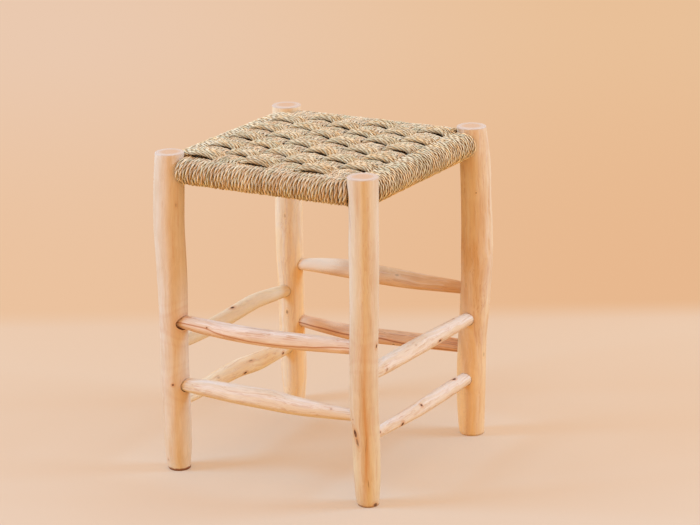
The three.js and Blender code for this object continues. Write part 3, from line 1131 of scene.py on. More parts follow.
@dataclass
class PoleFrame:
    """The four posts, the eight rungs and the four seat rails."""

    groups: Groups
    height: float
    girth: float = 0.041
    rail_tenon: float = 0.014
    rail_reach: float = 0.0085
    rail_gap: float = 0.0004
    rail_overhang: float = 0.01

    def __post_init__(self) -> None:
        """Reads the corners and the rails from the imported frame, and shapes the poles."""
        front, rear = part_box("seat_rail_front"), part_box("seat_rail_rear")
        left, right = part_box("seat_rail_left"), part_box("seat_rail_right")
        self.front_y, self.rear_y = ((box[0].y + box[1].y) / 2 for box in (front, rear))
        self.left_x, self.right_x = ((box[0].x + box[1].x) / 2 for box in (left, right))
        self.middle = Vector(((self.left_x + self.right_x) / 2, (self.front_y + self.rear_y) / 2, 0))
        self.rail_height = (front[0].z + front[1].z) / 2
        self.rail_radius = (front[1].z - front[0].z) / 2
        self.posts = {post.name: post for post in self.make_posts()}
        self.rungs = self.make_rungs()

    def make_posts(self) -> list[Post]:
        """The four posts with their swells, bows and knots.

        Returns:
            The posts.
        """
        shared = {"girth": self.girth, "stations": POST_STATIONS, "height": self.height, "rings": 150}
        return [
            Post(
                name="front_left", corner=Vector((self.left_x, self.front_y, 0)), seed=3.1, **shared,
                girth_shares=(
                    0.75, 0.81, 0.9, 0.925, 0.937, 0.944, 0.94, 0.963, 1, 1.012, 1.025, 1.02, 0.96,
                ),
                bend_shares=(
                    -0.03, -0.05, -0.05, -0.05, -0.055, -0.07, -0.055, -0.05, -0.05, -0.07, -0.09, -0.05,
                    0.01,
                ),
                knots=(
                    Knot(0.1272, -68, 0.0036, 0.0036, depth=0.85),
                    Knot(0.0152, -113, 0.004, 0.003, depth=0.35),
                    Knot(0.381, -30, 0.006, 0.003, depth=0.25),
                ),
            ),
            Post(
                name="front_right", corner=Vector((self.right_x, self.front_y, 0)), seed=11.7, **shared,
                girth_shares=(0.7, 0.77, 0.84, 0.89, 0.91, 0.95, 0.935, 0.92, 0.94, 0.945, 0.965, 0.95, 1),
                bend_shares=(0.03, 0.01, 0.01, 0, -0.02, -0.065, -0.06, -0.04, -0.01, 0, 0, 0.017, 0),
                knots=(
                    Knot(0.1045, -107, 0.013, 0.0055, lean=-14),
                    Knot(0.0925, -98, 0.012, 0.004, lean=-14, depth=0.6),
                    Knot(0.1238, -116, 0.0016, 0.0014), Knot(0.224, 1, 0.006, 0.004, lean=20),
                    Knot(0.4104, -142, 0.004, 0.0022, depth=0.7),
                    Knot(0.395, -128, 0.028, 0.0018, lean=-8, depth=0.3),
                    Knot(0.185, -57, 0.07, 0.003, lean=2, depth=0.2, is_stain=True),
                    Knot(0.12, -59, 0.06, 0.0036, lean=-3, depth=0.42, is_stain=True),
                    Knot(0.062, -62, 0.07, 0.0044, lean=3, depth=0.42, is_stain=True),
                    Knot(0.09, -61, 0.03, 0.0012, lean=4, depth=0.3),
                    Knot(0.035, -56, 0.014, 0.0014, lean=-5, depth=0.4),
                    Knot(0.003, -20, 0.006, 0.007, depth=0.8),
                ),
            ),
            Post(
                name="rear_right", corner=Vector((self.right_x, self.rear_y, 0)), seed=5.9, **shared,
                girth_shares=(
                    0.84, 0.89, 0.94, 0.98, 0.995, 0.99, 1.025, 1.05, 1.085, 1.065, 1.035, 1.04, 0.99,
                ),
                bend_shares=(
                    0.015, 0, -0.01, -0.015, 0, 0.04, 0.117, 0.168, 0.193, 0.195, 0.17, 0.137, 0.012,
                ),
                knots=(
                    Knot(0.121, -7, 0.007, 0.005, depth=0.3),
                    # A broad pale stain low on its front-left side: painted light
                    Knot(0.06, -130, 0.16, 0.03, depth=0.7, is_stain=True),
                    Knot(0.3595, -63, 0.003, 0.0022, depth=0.6),
                    Knot(0.225, -104, 0.009, 0.002, depth=0.25),
                ),
            ),
            Post(
                name="rear_left", corner=Vector((self.left_x, self.rear_y, 0)), seed=17.3, **shared,
                girth_shares=(
                    0.73, 0.77, 0.865, 0.925, 0.927, 0.93, 0.94, 0.965, 0.98, 0.98, 0.985, 0.995, 1.005,
                ),
                bend_shares=(
                    0.05, 0.05, 0.05, 0.045, 0.02, 0.007, 0, -0.02, -0.02, -0.005, -0.01, -0.015, -0.015,
                ),
                knots=(
                    Knot(0.1435, -80, 0.007, 0.004, depth=0.55), Knot(0.29, -76, 0.006, 0.003, depth=0.3),
                    # A broad amber stain low on its front-right side: painted warm shade
                    Knot(0.13, -18, 0.26, 0.016, depth=0.4, is_stain=True),
                ),
            ),
        ]

    def make_rungs(self) -> list[Rung]:
        """The eight rungs with their swells, bends and knots.

        Returns:
            The rungs.
        """
        front, rear = ("front_left", "front_right"), ("rear_left", "rear_right")
        left, right = ("front_left", "rear_left"), ("front_right", "rear_right")
        shared = {"stations": RUNG_STATIONS, "posts": self.posts, "rings": 130}
        return [
            Rung(
                name="rung_front_upper", ends=front, height=0.2154, girth=0.023, tilt_share=0.16,
                girth_shares=(0.83, 0.93, 1, 1, 0.98, 0.91, 0.83),
                bend_shares=(0, -0.1, -0.2, -0.22, -0.14, -0.04, 0),
                split=(
                    (0.02, 172), (0.045, 168), (0.06, 172), (0.075, 186), (0.097, 197), (0.12, 202),
                    (0.155, 206), (0.195, 202), (0.23, 190), (0.27, 172),
                ),
                knots=(Knot(0.0596, 163, 0.0034, 0.0024, depth=0.9),),
                first_gap=0.0027, first_drift=-0.0024, stain=0.4,
                facet=0.022, lump=0.016, seed=21.3, **shared,
            ),
            Rung(
                name="rung_front_lower", ends=front, height=0.1233, girth=0.028, tilt_share=-0.04,
                girth_shares=(0.68, 0.82, 0.95, 1, 0.86, 0.68, 0.56),
                bend_shares=(0, 0, 0, 0, -0.06, -0.03, 0),
                knots=(Knot(0.249, 136, 0.003, 0.0018, depth=0.5),),
                first_gap=0.0012, first_drift=-0.0009, stain=0.3,
                facet=0.02, lump=0.016, seed=25.9, **shared,
            ),
            Rung(
                name="rung_rear_upper", ends=rear, height=0.2135, girth=0.028, tilt_share=-0.02,
                girth_shares=(0.6, 0.78, 0.97, 0.98, 0.87, 0.72, 0.62),
                bend_shares=(0, 0.08, 0.12, 0.05, 0, 0, 0),
                knots=(
                    Knot(0.182, 144, 0.007, 0.004, depth=0.3),
                    # A broad pale stain on the upper face near its left end: painted light where that end
                    # is lit
                    Knot(0.035, 140, 0.12, 0.03, depth=0.75, is_stain=True),
                ),
                facet=0.016, seed=29.4, **shared,
            ),
            Rung(
                name="rung_rear_lower", ends=rear, height=0.1272, girth=0.022, tilt_share=0.02,
                girth_shares=(0.8, 0.9, 0.98, 1, 0.98, 0.95, 0.86),
                bend_shares=(0, -0.12, -0.27, -0.23, -0.12, -0.03, 0),
                split=((0.12, 182), (0.153, 176), (0.174, 188), (0.2, 205), (0.24, 215)),
                knots=(
                    Knot(0.1738, -139, 0.005, 0.0025), Knot(0.196, -136, 0.004, 0.002, depth=0.8),
                    Knot(0.04, 110, 0.1, 0.024, depth=0.6, is_stain=True),
                ),
                seed=33.8, **shared,
            ),
            Rung(
                name="rung_right_upper", ends=right, height=0.1768, girth=0.0235, tilt_share=-0.15,
                girth_shares=(0.82, 0.95, 1, 1, 0.94, 0.86, 0.78),
                bend_shares=(0, 0, 0.02, 0.03, 0.04, 0.02, 0),
                knots=(
                    Knot(0.2508, 78, 0.004, 0.003, depth=0.9), Knot(0.1889, -168, 0.008, 0.0034),
                    Knot(0.127, 132, 0.004, 0.002, depth=0.3), Knot(0.043, -176, 0.0032, 0.006, depth=0.5),
                ),
                facet=0.03, lump=0.022, knob=0.022, seed=37.2, **shared,
            ),
            Rung(
                name="rung_left_upper", ends=left, height=0.177, girth=0.0225, tilt_share=-0.13,
                girth_shares=(0.82, 0.93, 1, 1, 0.98, 0.9, 0.8),
                bend_shares=(0, 0, 0.03, 0.15, 0.27, 0.12, 0),
                knots=(Knot(0.1448, 100, 0.009, 0.0045),),
                seed=41.5, **shared,
            ),
            Rung(
                name="rung_right_lower", ends=right, height=0.0888, girth=0.021, tilt_share=-0.3,
                girth_shares=(0.68, 0.72, 0.85, 0.95, 1, 0.98, 0.88),
                bend_shares=(0, -0.03, -0.08, -0.1, -0.05, 0, 0),
                knots=(
                    Knot(0.0264, 155, 0.004, 0.004, depth=0.8), Knot(0.1437, 130, 0.0048, 0.0042),
                    Knot(0.0866, -160, 0.007, 0.006, lean=20), Knot(0.2526, 92, 0.0085, 0.0042),
                ),
                facet=0.022, lump=0.018, knob=0.012, seed=45.1, **shared,
            ),
            Rung(
                name="rung_left_lower", ends=left, height=0.0927, girth=0.0265, tilt_share=-0.29,
                girth_shares=(0.72, 0.8, 0.88, 0.97, 1, 0.86, 0.74),
                bend_shares=(0, 0.02, 0.12, 0.16, 0.02, 0, 0),
                knots=(
                    Knot(0.1757, 138, 0.012, 0.0024, depth=0.45), Knot(0.158, -155, 0.008, 0.004),
                    Knot(0.2618, -177, 0.005, 0.0038), Knot(0.092, 142, 0.006, 0.004, depth=0.25),
                ),
                facet=0.018, lump=0.016, seed=49.6, **shared,
            ),
        ]

    def rail_cutters(self, post: Post) -> list[bmesh.types.BMesh]:
        """The mortises of the two seat rails that meet in a post.

        Args:
            post: The post.

        Returns:
            Two round cutters that don't meet.
        """
        corner = Vector((post.corner.x, post.corner.y, self.rail_height))
        inward = self.middle - post.corner
        depth = self.girth / 2 + self.rail_overhang - self.rail_reach
        cutters = []
        for axis, around, way in (((1, 0, 0), "Y", inward.x), ((0, 1, 0), "X", inward.y)):
            reach = self.rail_reach - self.rail_gap + depth / 2
            centre = corner + Vector(axis) * math.copysign(1, way) * reach
            placement = Matrix.Translation(centre) @ Matrix.Rotation(math.pi / 2, 4, around)
            cutters.append(round_cutter(self.rail_tenon / 2 + self.rail_gap, depth, placement))
        return cutters

    def build(self) -> None:
        """Builds and dresses every pole."""
        self.mortise_wood = MORTISE_FINISH.material(self.groups)
        for post in self.posts.values():
            self.build_post(post)
        for rung in self.rungs:
            self.build_rung(rung)
        for side in ("front", "rear", "left", "right"):
            name = f"seat_rail_{side}"
            turn = (0, math.pi / 2, 0) if side in ("front", "rear") else (math.pi / 2, 0, 0)
            finish = replace(RAIL_FINISH, name=f"{name}_wood", turn=turn)
            dress(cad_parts[name], finish.material(self.groups))
            LOG.info("dressed %s", name)

    def build_post(self, post: Post) -> None:
        """Builds one post with its mortises.

        Args:
            post: The post.
        """
        rungs = [rung for rung in self.rungs if post.name in rung.ends]
        knots = [*post.placed_knots(is_unbent=False), *(rung.collar(post.name) for rung in rungs)]
        mesh = post.shaped_mesh()
        mesh.materials.append(POST_FINISHES[post.name].material(self.groups, knots, post.cut_end()))
        cutters = [*(rung.mortise(post.name) for rung in rungs), *self.rail_cutters(post)]
        mesh = bored(mesh, cutters, self.mortise_wood)
        round_over(mesh)
        piece = new_object(f"peeled_post_{post.name}", mesh)
        seat_piece(piece, f"post_{post.name}")

    def build_rung(self, rung: Rung) -> None:
        """Builds one rung.

        Args:
            rung: The rung.
        """
        mesh = rung.shaped_mesh()
        round_over(mesh)
        piece = new_object(f"peeled_{rung.name}", mesh)
        finish = RUNG_FINISHES.get(rung.name, RUNG_FINISHES["plain"])
        knots = rung.placed_knots(is_unbent=True)
        dress(piece, finish.material(self.groups, knots, has_split=bool(rung.split)))
        seat_piece(piece, rung.name)


# The walls of the mortises: a dark, saturated brown that is painted shade in the holes
MORTISE_FINISH = WoodFinish(
    name="mortise_wood", pale=paint(180, 92, 24), tan=paint(150, 68, 12), bleached=paint(190, 110, 50),
)
RAIL_FINISH = WoodFinish(name="rail_wood", pale=paint(222, 192, 158), tan=paint(206, 160, 114), lines=0.35)
POST_FINISHES = {
    "front_left": WoodFinish(
        name="post_wood_sanded", tan=paint(214, 183, 150), patches=0.6, lines=0.22, foot=0.2,
        foot_edge=0.9,
    ),
    "front_right": WoodFinish(
        name="post_wood_near", pale=paint(226, 209, 186), halo=paint(206, 146, 92), patches=0.5,
        lines=0.26, foot=0.4, foot_edge=0.6,
    ),
    "rear_right": WoodFinish(
        name="post_wood_tan", pale=paint(230, 205, 174), tan=paint(212, 165, 116),
        line=paint(186, 120, 72), halo=paint(250, 210, 152), lines=0.4, foot_edge=0.5,
    ),
    # The far post's pale and tan are a brighter copy of the post wood: painted light
    "rear_left": WoodFinish(
        name="post_wood_far", pale=paint(242, 220, 190), tan=paint(242, 200, 144),
        halo=paint(254, 204, 132), foot_edge=0.3,
    ),
}
RUNG_FINISHES = {
    "plain": WoodFinish(
        name="rung_wood_pale", pale=paint(232, 213, 194), tan=paint(222, 191, 156), patches=0.6, lines=0.4,
        bleach=0.6, coarseness=0.7, grain=Grain.STRAIGHT,
    ),
    "rung_left_lower": WoodFinish(
        name="rung_wood_warm", pale=paint(246, 230, 202), tan=paint(238, 204, 158), patches=0.8, lines=0.4,
        bleach=0.2, coarseness=0.5, grain=Grain.STRAIGHT,
    ),
    "rung_front_upper": WoodFinish(
        name="rung_wood_streaked", pale=paint(230, 207, 188), tan=paint(220, 177, 138),
        line=paint(194, 122, 70), halo=paint(230, 172, 124), bleached=paint(242, 224, 212), patches=0.45,
        lines=0.75, bleach=0.8, coarseness=1.0, grain=Grain.STRAIGHT,
    ),
    "rung_rear_lower": WoodFinish(
        name="rung_wood_streaked_rear", pale=paint(226, 181, 140), tan=paint(212, 147, 95),
        bleached=paint(232, 206, 182), line=paint(170, 100, 60), halo=paint(238, 206, 176), patches=0.6,
        lines=0.65, bleach=0.35, coarseness=0.9, grain=Grain.STRAIGHT,
    ),
    "rung_rear_upper": WoodFinish(
        name="rung_wood_brown", pale=paint(226, 184, 140), tan=paint(206, 151, 98),
        halo=paint(246, 222, 196), bleached=paint(236, 214, 192), patches=0.7, lines=0.45, bleach=0.4,
        coarseness=0.5, grain=Grain.STRAIGHT,
    ),
    "rung_left_upper": WoodFinish(
        name="rung_wood_cream", pale=paint(238, 218, 186), tan=paint(230, 198, 152), patches=0.4,
        lines=0.15, bleach=0.2, coarseness=0.25, grain=Grain.STRAIGHT,
    ),
}


def dress(piece: bpy.types.Object, material: bpy.types.Material) -> None:
    """Gives a piece its one material."""
    piece.data.materials.clear()
    piece.data.materials.append(material)


def seat_piece(piece: bpy.types.Object, node: str) -> None:
    """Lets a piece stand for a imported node, and reports it.

    Args:
        piece: The piece.
        node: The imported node's name.
    """
    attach(piece, BODY)
    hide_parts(node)
    LOG.info("built %s for %s: %d faces", piece.name, node, len(piece.data.polygons))


@dataclass
class Turn:
    """One turn of rope round two rails.

    Its exposure is 0 where a crossing band hides it, 1 on top of one and 1.5 outside the weave; the rope's
    material paints shade where it is low.
    Outward points away from the seat's inside. Fresh leaf is smooth and greenish, from 0 to 1.
    """

    points: list[Vector]
    outward: list[Vector]
    thickness: list[float]
    twist: list[float]
    exposure: list[float]
    tone: float
    fresh: float


OUTSIDE_EXPOSURE = 1.5
# How many points the loop has on the seat's top, round each rail and underneath
TOP_STEPS, ARC_STEPS, UNDER_STEPS = 180, 26, 60
# How often the noises change along the rope: its wander, its sway with its neighbours and alone
WANDER_RATE, SHARED_RATE, SHARED_RISE_RATE, SWAY_RATE, LIFT_RATE = 16, 34, 60, 80, 70
SIZE_RATE, TWIST_RATE = 55, 50


@dataclass
class RopeLayer:
    """One set of parallel bands. They run from rail to rail along one direction.

    A band rises by over and sinks by under where it crosses another, and its floats arch. Its turns
    gather where it dives, bundle where it is hidden and widen on top. Its outer turns lie lower by
    the crown, and its floats lean to one side. The first weft slumps outward over its rail.
    """

    kind: Layer
    bands: int
    turns_per_band: int
    crossings: int
    half_run: float
    half_cross: float
    middle: Vector
    rail_height: float
    rail_radius: float
    underside: float
    seed: int
    over: float
    under: float
    arch: float
    gather: float
    softness: float
    sink: float
    bundle: float
    widen: float
    crown: float
    rounds: int
    lean: float = 0
    fresh: float = 0
    freshness: tuple[float, float] = (0.6, 1)
    post_clearance: float = 0.0202
    rope_radius: float = 0.0027
    spread: float = 0.055
    slump: float = 0.007
    slump_power: float = 0.6
    slump_middle: float = 0.6
    slump_slant: float = 0.4
    slump_rise: float = 0.0015
    corner_fans: tuple[float, float] = (0.002, 0.0052)
    fan_start: float = 0.65
    edge_sink: float = -0.3
    weave_edge: float = 0.25
    pinch_edge: float = 0.7
    pinch_rise: float = 0.0016
    under_ease: float = 0.02
    misplaced: float = 0.0002
    sizes: tuple[float, float] = (0.97, 1.05)
    swelling: float = 0.1
    untwisting: float = 0.8
    wander: float = 0.0014
    shared_sway: float = 0.0009
    sway: float = 0.0008
    lift: float = 0.0009
    steps: int = 360
    arches: tuple[float, float] = (0.3, 1.7)
    fibres_per_turn: int = 3

    def spread_at(self, distance: float, half: float) -> float:
        """How much the bands fan out at a distance from the middle of the seat."""
        return 1 + self.spread * max(0.0, math.cos(math.pi * distance / (2 * half)))

    def crossing_at(self, run: float, across: float) -> float:
        """How many crossing bands a place lies past.

        Args:
            run: The distance along the run from the seat's middle.
            across: The distance across it.

        Returns:
            A number that is whole between two crossing bands. The first weft is the wider one.
        """
        reach = (self.half_run - self.post_clearance) * self.spread_at(across, self.half_cross)
        crossing = (run + reach) / (2 * reach) * self.crossings
        if self.kind is Layer.WEFT or crossing > 1:
            return crossing
        pitch = 2 * reach / self.crossings
        return (run + reach + self.slump) / (pitch + self.slump)

    def fan_at(self, run: float, side: float) -> float:
        """How far a turn spreads towards a post where it wraps a rail.

        Args:
            run: The distance along the run from the seat's middle.
            side: The distance across it.

        Returns:
            The distance to one side, beyond the post's middle.
        """
        share = side / (self.half_cross - self.post_clearance)
        crowding = max(0.0, abs(share) - self.fan_start) / (1 - self.fan_start)
        outside = max(0.0, abs(run) - self.half_run) / (self.rail_radius + self.rope_radius)
        fan = self.corner_fans[0 if side < 0 else 1]
        return math.copysign(fan * crowding * crowding * outside * outside, side)

    def woven_at(self, crossing: float) -> float:
        """How far a place lies within the weave: 0 outside it, rising to 1 just inside."""
        return min(1.0, max(0.0, min(crossing, self.crossings - crossing)) / self.weave_edge)

    def wave_at(self, band: int, crossing: float) -> float:
        """Where a band lies in the weave.

        Args:
            band: The number of the band, from 0.
            crossing: How many crossing bands the place lies past.

        Returns:
            1 on top of a crossing band, -1 below one, and between them elsewhere.
        """
        if not 0 < crossing < self.crossings:
            return 0.0
        first = -1 if self.kind is Layer.WARP else 1
        sink = self.edge_sink if self.kind is Layer.WEFT and band == 0 else self.sink
        wave = first * (-1) ** band * math.sin(math.pi * crossing)
        wave = (wave - sink * self.woven_at(crossing)) / (1 - sink if wave > sink else 1 + sink)
        return math.tanh(self.softness * wave) / math.tanh(self.softness)

    def pinch_at(self, crossing: float) -> float:
        """How much a band is drawn together.

        Args:
            crossing: How many crossing bands the place lies past.

        Returns:
            1 where the band dives between two crossing bands, and 0 outside the weave.
        """
        inside = min(crossing, self.crossings - crossing)
        if inside <= 0:
            return 0.0
        edge = min(1.0, inside / self.pinch_edge)
        return abs(math.cos(math.pi * crossing)) * edge * edge * (3 - 2 * edge)

    def section_path(self) -> list[tuple[float, float, bool]]:
        """The plain loop of one turn, seen along the rails.

        Returns:
            The distance along the run, the height above the rails, and True on the seat's top.
        """
        wrap = self.rail_radius + self.rope_radius
        path = [(self.half_run * (2 * i / TOP_STEPS - 1), wrap, True) for i in range(TOP_STEPS)]
        for i in range(ARC_STEPS):
            angle = math.pi * (0.5 - i / ARC_STEPS)
            path.append((self.half_run + wrap * math.cos(angle), wrap * math.sin(angle), False))
        for i in range(UNDER_STEPS):
            run = self.half_run * (1 - 2 * i / UNDER_STEPS)
            ease = min(1.0, (self.half_run - abs(run)) / self.under_ease)
            drop = (self.underside + wrap) * ease * ease * (3 - 2 * ease)
            path.append((run, -wrap + drop, False))
        for i in range(ARC_STEPS):
            angle = math.pi * (-0.5 - i / ARC_STEPS)
            path.append((-self.half_run + wrap * math.cos(angle), wrap * math.sin(angle), False))
        return path

    def turn(self, band: int, strand: int, rng: random.Random, arches: Sequence[float]) -> Turn:
        """Lays one turn of rope.

        Args:
            band: The number of its band, from 0.
            strand: The number of the turn in its band, from 0.
            rng: The seeded source of its small irregularities.
            arches: How high the band's floats arch, crossing by crossing.

        Returns:
            The turn in the stool's frame.
        """
        reach = self.half_cross - self.post_clearance
        pitch = 2 * reach / (self.bands * self.turns_per_band)
        band_middle = -reach + 2 * reach * (band + 0.5) / self.bands
        offset = (strand - (self.turns_per_band - 1) / 2) * pitch
        share = offset / (pitch * (self.turns_per_band - 1) / 2)
        drift = rng.uniform(-self.misplaced, self.misplaced)
        phase = rng.uniform(0, 100)
        size = rng.uniform(*self.sizes)
        line = []
        for run, height, on_top in self.section_path():
            crossing = self.crossing_at(run, band_middle + offset)
            wave = self.wave_at(band, crossing) if on_top else 0.0
            pinch = self.pinch_at(crossing) if on_top else 0.0
            woven = self.woven_at(crossing) if on_top else 0.0
            arch = arches[min(max(int(crossing), 0), self.crossings - 1)] * max(0.0, wave) ** 2
            height += (self.over if wave > 0 else self.under) * wave + arch * self.arch
            buried = max(0.0, -wave)
            height += self.pinch_rise * pinch * (0.5 - share * share) - self.crown * woven * share * share
            closeness = 1 - self.gather * pinch - self.bundle * buried + self.widen * max(0.0, wave)
            wander = self.wander * woven * wobble(band * 7.3, run * WANDER_RATE, self.seed + 0.5)
            wander -= self.lean * max(0.0, wave)
            side = (band_middle + offset * closeness + drift + wander) * self.spread_at(run, self.half_run)
            side += self.fan_at(run, band_middle + offset)
            if self.kind is Layer.WEFT and band == 0:
                slump = max(0.0, wave) ** self.slump_power
                side -= self.slump * slump * (self.slump_middle - self.slump_slant * share)
                height += self.slump_rise * slump
            shared_place = (side * SHARED_RATE, run * SHARED_RATE, height * SHARED_RISE_RATE + self.seed)
            side += self.shared_sway * wobble(*shared_place)
            side += self.sway * wobble(phase, run * SWAY_RATE, height * SWAY_RATE)
            height += self.lift * wobble(run * LIFT_RATE, phase, height * LIFT_RATE)
            line.append(Vector((run, side, height, OUTSIDE_EXPOSURE - woven * (1 - 0.5 * wave))))
        places = evenly(line, self.steps)
        points, exposure = [place.to_3d() for place in places], [place.w for place in places]
        thickness = [
            size * (1 + self.swelling * wobble(phase, point.x * SIZE_RATE, point.z * SIZE_RATE))
            for point in points
        ]
        start = rng.uniform(0, math.pi)
        step = 2 * math.pi * self.rounds / self.steps
        twist = []
        for i, (x, y, z) in enumerate(points):
            uneven = wobble(x * TWIST_RATE, y * TWIST_RATE + phase, z * TWIST_RATE)
            twist.append(start + step * i + self.untwisting * uneven)
        fresh = self.fresh * rng.uniform(*self.freshness) if strand == 0 else 0.0
        placed = [self.placed(point) for point in points]
        outward = [self.outward(point) for point in points]
        return Turn(placed, outward, thickness, twist, exposure, rng.random(), fresh)

    def placed(self, point: Vector) -> Vector:
        """A point in the stool's frame, from one along the run, across it and above the rails."""
        base = self.middle + Vector((0, 0, self.rail_height))
        return base + (point.yxz if self.kind is Layer.WARP else point)

    def outward(self, point: Vector) -> Vector:
        """The direction away from the seat's inside.

        Args:
            point: A point along the run, across it and above the rails.

        Returns:
            Up, down or out from a rail, in the stool's frame.
        """
        beyond = math.copysign(max(0.0, abs(point.x) - self.half_run), point.x)
        away = Vector((beyond, 0, point.z)).normalized()
        return away.yxz if self.kind is Layer.WARP else away

    def build(self, material: bpy.types.Material) -> None:
        """Builds every band of the layer as a piece of its own.

        Args:
            material: The rope's material.
        """
        rng = random.Random(self.seed)
        for band in range(self.bands):
            arches = [rng.uniform(*self.arches) for _ in range(self.crossings)]
            turns = [self.turn(band, strand, rng, arches) for strand in range(self.turns_per_band)]
            fibres = [
                stray_fibre(turn, self.rope_radius, rng)
                for turn in turns for _ in range(self.fibres_per_turn)
            ]
            name = f"{self.kind.value}_band_{band + 1}"
            piece = new_object(f"rope_{name}", rope_mesh(f"rope_{name}", turns, fibres, self.rope_radius))
            dress(piece, material)
            seat_piece(piece, name)


# A stray fibre's points, its size, lift and length as shares of the rope's radius, and its lean
# as a share of its length
FIBRE_POINTS = 6
FIBRE_SHARE = 0.075
FIBRE_LIFT = 1.45
FIBRE_LENGTHS = (1.8, 3.4)
FIBRE_LEAN = 0.6
# How far it bends over, in radians
FIBRE_BEND = 1.5


def evenly(line: Sequence[Vector], count: int) -> list[Vector]:
    """Spaces points evenly along a closed line.

    Args:
        line: The line's own points.
        count: How many points to return.

    Returns:
        The evenly spaced points.
    """
    closed = [*line, line[0]]
    marks = [0.0]
    for first, second in zip(closed, closed[1:]):
        marks.append(marks[-1] + (second - first).to_3d().length)
    points, segment = [], 0
    for i in range(count):
        goal = marks[-1] * i / count
        while marks[segment + 1] < goal:
            segment += 1
        share = (goal - marks[segment]) / (marks[segment + 1] - marks[segment])
        points.append(closed[segment].lerp(closed[segment + 1], share))
    return points


def ply_outline(radius: float) -> bpy.types.Object:
    """The section of a laid rope.

    Args:
        radius: The rope's radius.

    Returns:
        A closed flat curve, wound clockwise from a valley.
    """
    outline = []
    for ply in range(PLIES):
        turn = Matrix.Rotation(2 * math.pi * (ply + 0.5) / PLIES, 2)
        outline.append(Matrix.Rotation(2 * math.pi * ply / PLIES, 2) @ Vector((PLY_VALLEY_SHARE, 0)))
        for degrees in PLY_ANGLES:
            angle = math.radians(degrees)
            lobe = Vector((math.cos(angle), math.sin(angle))) * PLY_RADIUS_SHARE
            outline.append(turn @ (lobe + Vector((PLY_CENTRE_SHARE, 0))))
    outline = [outline[0], *reversed(outline[1:])]
    curve = bpy.data.curves.new("ply_outline", "CURVE")
    spline = curve.splines.new("POLY")
    spline.points.add(len(outline) - 1)
    for point, (x, y) in zip(spline.points, outline):
        point.co = (x * radius, y * radius, 0, 1)
    spline.use_cyclic_u = True
    return bpy.data.objects.new("ply_outline", curve)


def stray_fibre(turn: Turn, radius: float, rng: random.Random) -> Turn:
    """A loose fibre that springs from a turn of rope.

    Args:
        turn: The turn that holds its root.
        radius: The rope's radius.
        rng: The seeded source of its place and bend.

    Returns:
        The fibre, as a short open turn that starts inside the rope.
    """
    root = rng.randrange(len(turn.points) - 1)
    start = turn.points[root]
    forward = (turn.points[root + 1] - start).normalized() * rng.choice((-1, 1))
    across = forward.orthogonal().normalized()
    outward = Matrix.Rotation(rng.uniform(0, 2 * math.pi), 3, forward) @ across
    sideways = forward.cross(outward) * rng.uniform(-FIBRE_LEAN, FIBRE_LEAN)
    length = rng.uniform(*FIBRE_LENGTHS) * radius
    points, thickness = [], []
    for i in range(FIBRE_POINTS):
        share = i / (FIBRE_POINTS - 1)
        lift = outward * (FIBRE_LIFT * radius * math.sin(FIBRE_BEND * share))
        points.append(start + lift + (forward + sideways * share) * (length * share * share))
        thickness.append(FIBRE_SHARE * math.sqrt(abs(math.sin(math.pi * i / (FIBRE_POINTS - 1)))))
    twist, exposure = [0.0] * FIBRE_POINTS, [1.0] * FIBRE_POINTS
    return Turn(points, [outward] * FIBRE_POINTS, thickness, twist, exposure, rng.random(), 0.0)


def close_tips(mesh: bpy.types.Mesh, around: int, fibre_count: int) -> None:
    """Merges the rings at the two ends of each fibre, the last parts of a mesh, into points.

    Args:
        mesh: The mesh of turns and then fibres.
        around: How many vertices a ring has.
        fibre_count: How many fibres it holds.
    """
    bm = bmesh.new()
    bm.from_mesh(mesh)
    bm.verts.ensure_lookup_table()
    size = FIBRE_POINTS * around
    first = len(bm.verts) - fibre_count * size
    tips = []
    for start in range(first, len(bm.verts), size):
        tips += bm.verts[start:start + around] + bm.verts[start + size - around:start + size]
    bmesh.ops.remove_doubles(bm, verts=tips, dist=1e-7)
    bm.to_mesh(mesh)
    bm.free()


def rope_mesh(
    name: str, turns: Sequence[Turn], fibres: Sequence[Turn], radius: float
) -> bpy.types.Mesh:
    """Sweeps the rope's section along closed turns and open stray fibres.

    Args:
        name: The mesh's name.
        turns: The turns of rope.
        fibres: The fibres that spring from them.
        radius: The rope's radius.

    Returns:
        A mesh with the rope's own UV map, and the marks of each turn as attributes.
    """
    curve = bpy.data.curves.new(name, "CURVE")
    curve.dimensions = "3D"
    outline = ply_outline(radius)
    curve.bevel_mode = "OBJECT"
    curve.bevel_object = outline
    for turn in (*turns, *fibres):
        spline = curve.splines.new("POLY")
        spline.points.add(len(turn.points) - 1)
        for point, place, size, tilt in zip(spline.points, turn.points, turn.thickness, turn.twist):
            point.co = (*place, 1)
            point.radius = size
            point.tilt = tilt
        spline.use_cyclic_u = turn in turns
    swept = new_object(name, curve)
    mesh = evaluated(swept)
    bpy.data.objects.remove(swept)
    bpy.data.objects.remove(outline)
    rings = [(turn.tone, level, turn.fresh) for turn in (*turns, *fibres) for level in turn.exposure]
    around = len(mesh.vertices) // len(rings)
    marks = [[value for value in values for _ in range(around)] for values in zip(*rings)]
    # How far each vertex lies outward of its turn, which the rope's material turns into painted shade
    # between the turns
    facing = []
    for turn in turns:
        for point, outward in zip(turn.points, turn.outward):
            verts = mesh.vertices[len(facing):len(facing) + around]
            facing += [(vert.co - point).dot(outward) / radius for vert in verts]
    facing += [1.0] * (len(mesh.vertices) - len(facing))
    for mark, values in zip(TURN_MARKS, (*marks, facing)):
        attribute = mesh.attributes.new(mark, "FLOAT", "POINT")
        attribute.data.foreach_set("value", values)
    close_tips(mesh, around, len(fibres))
    mesh.shade_smooth()
    return mesh


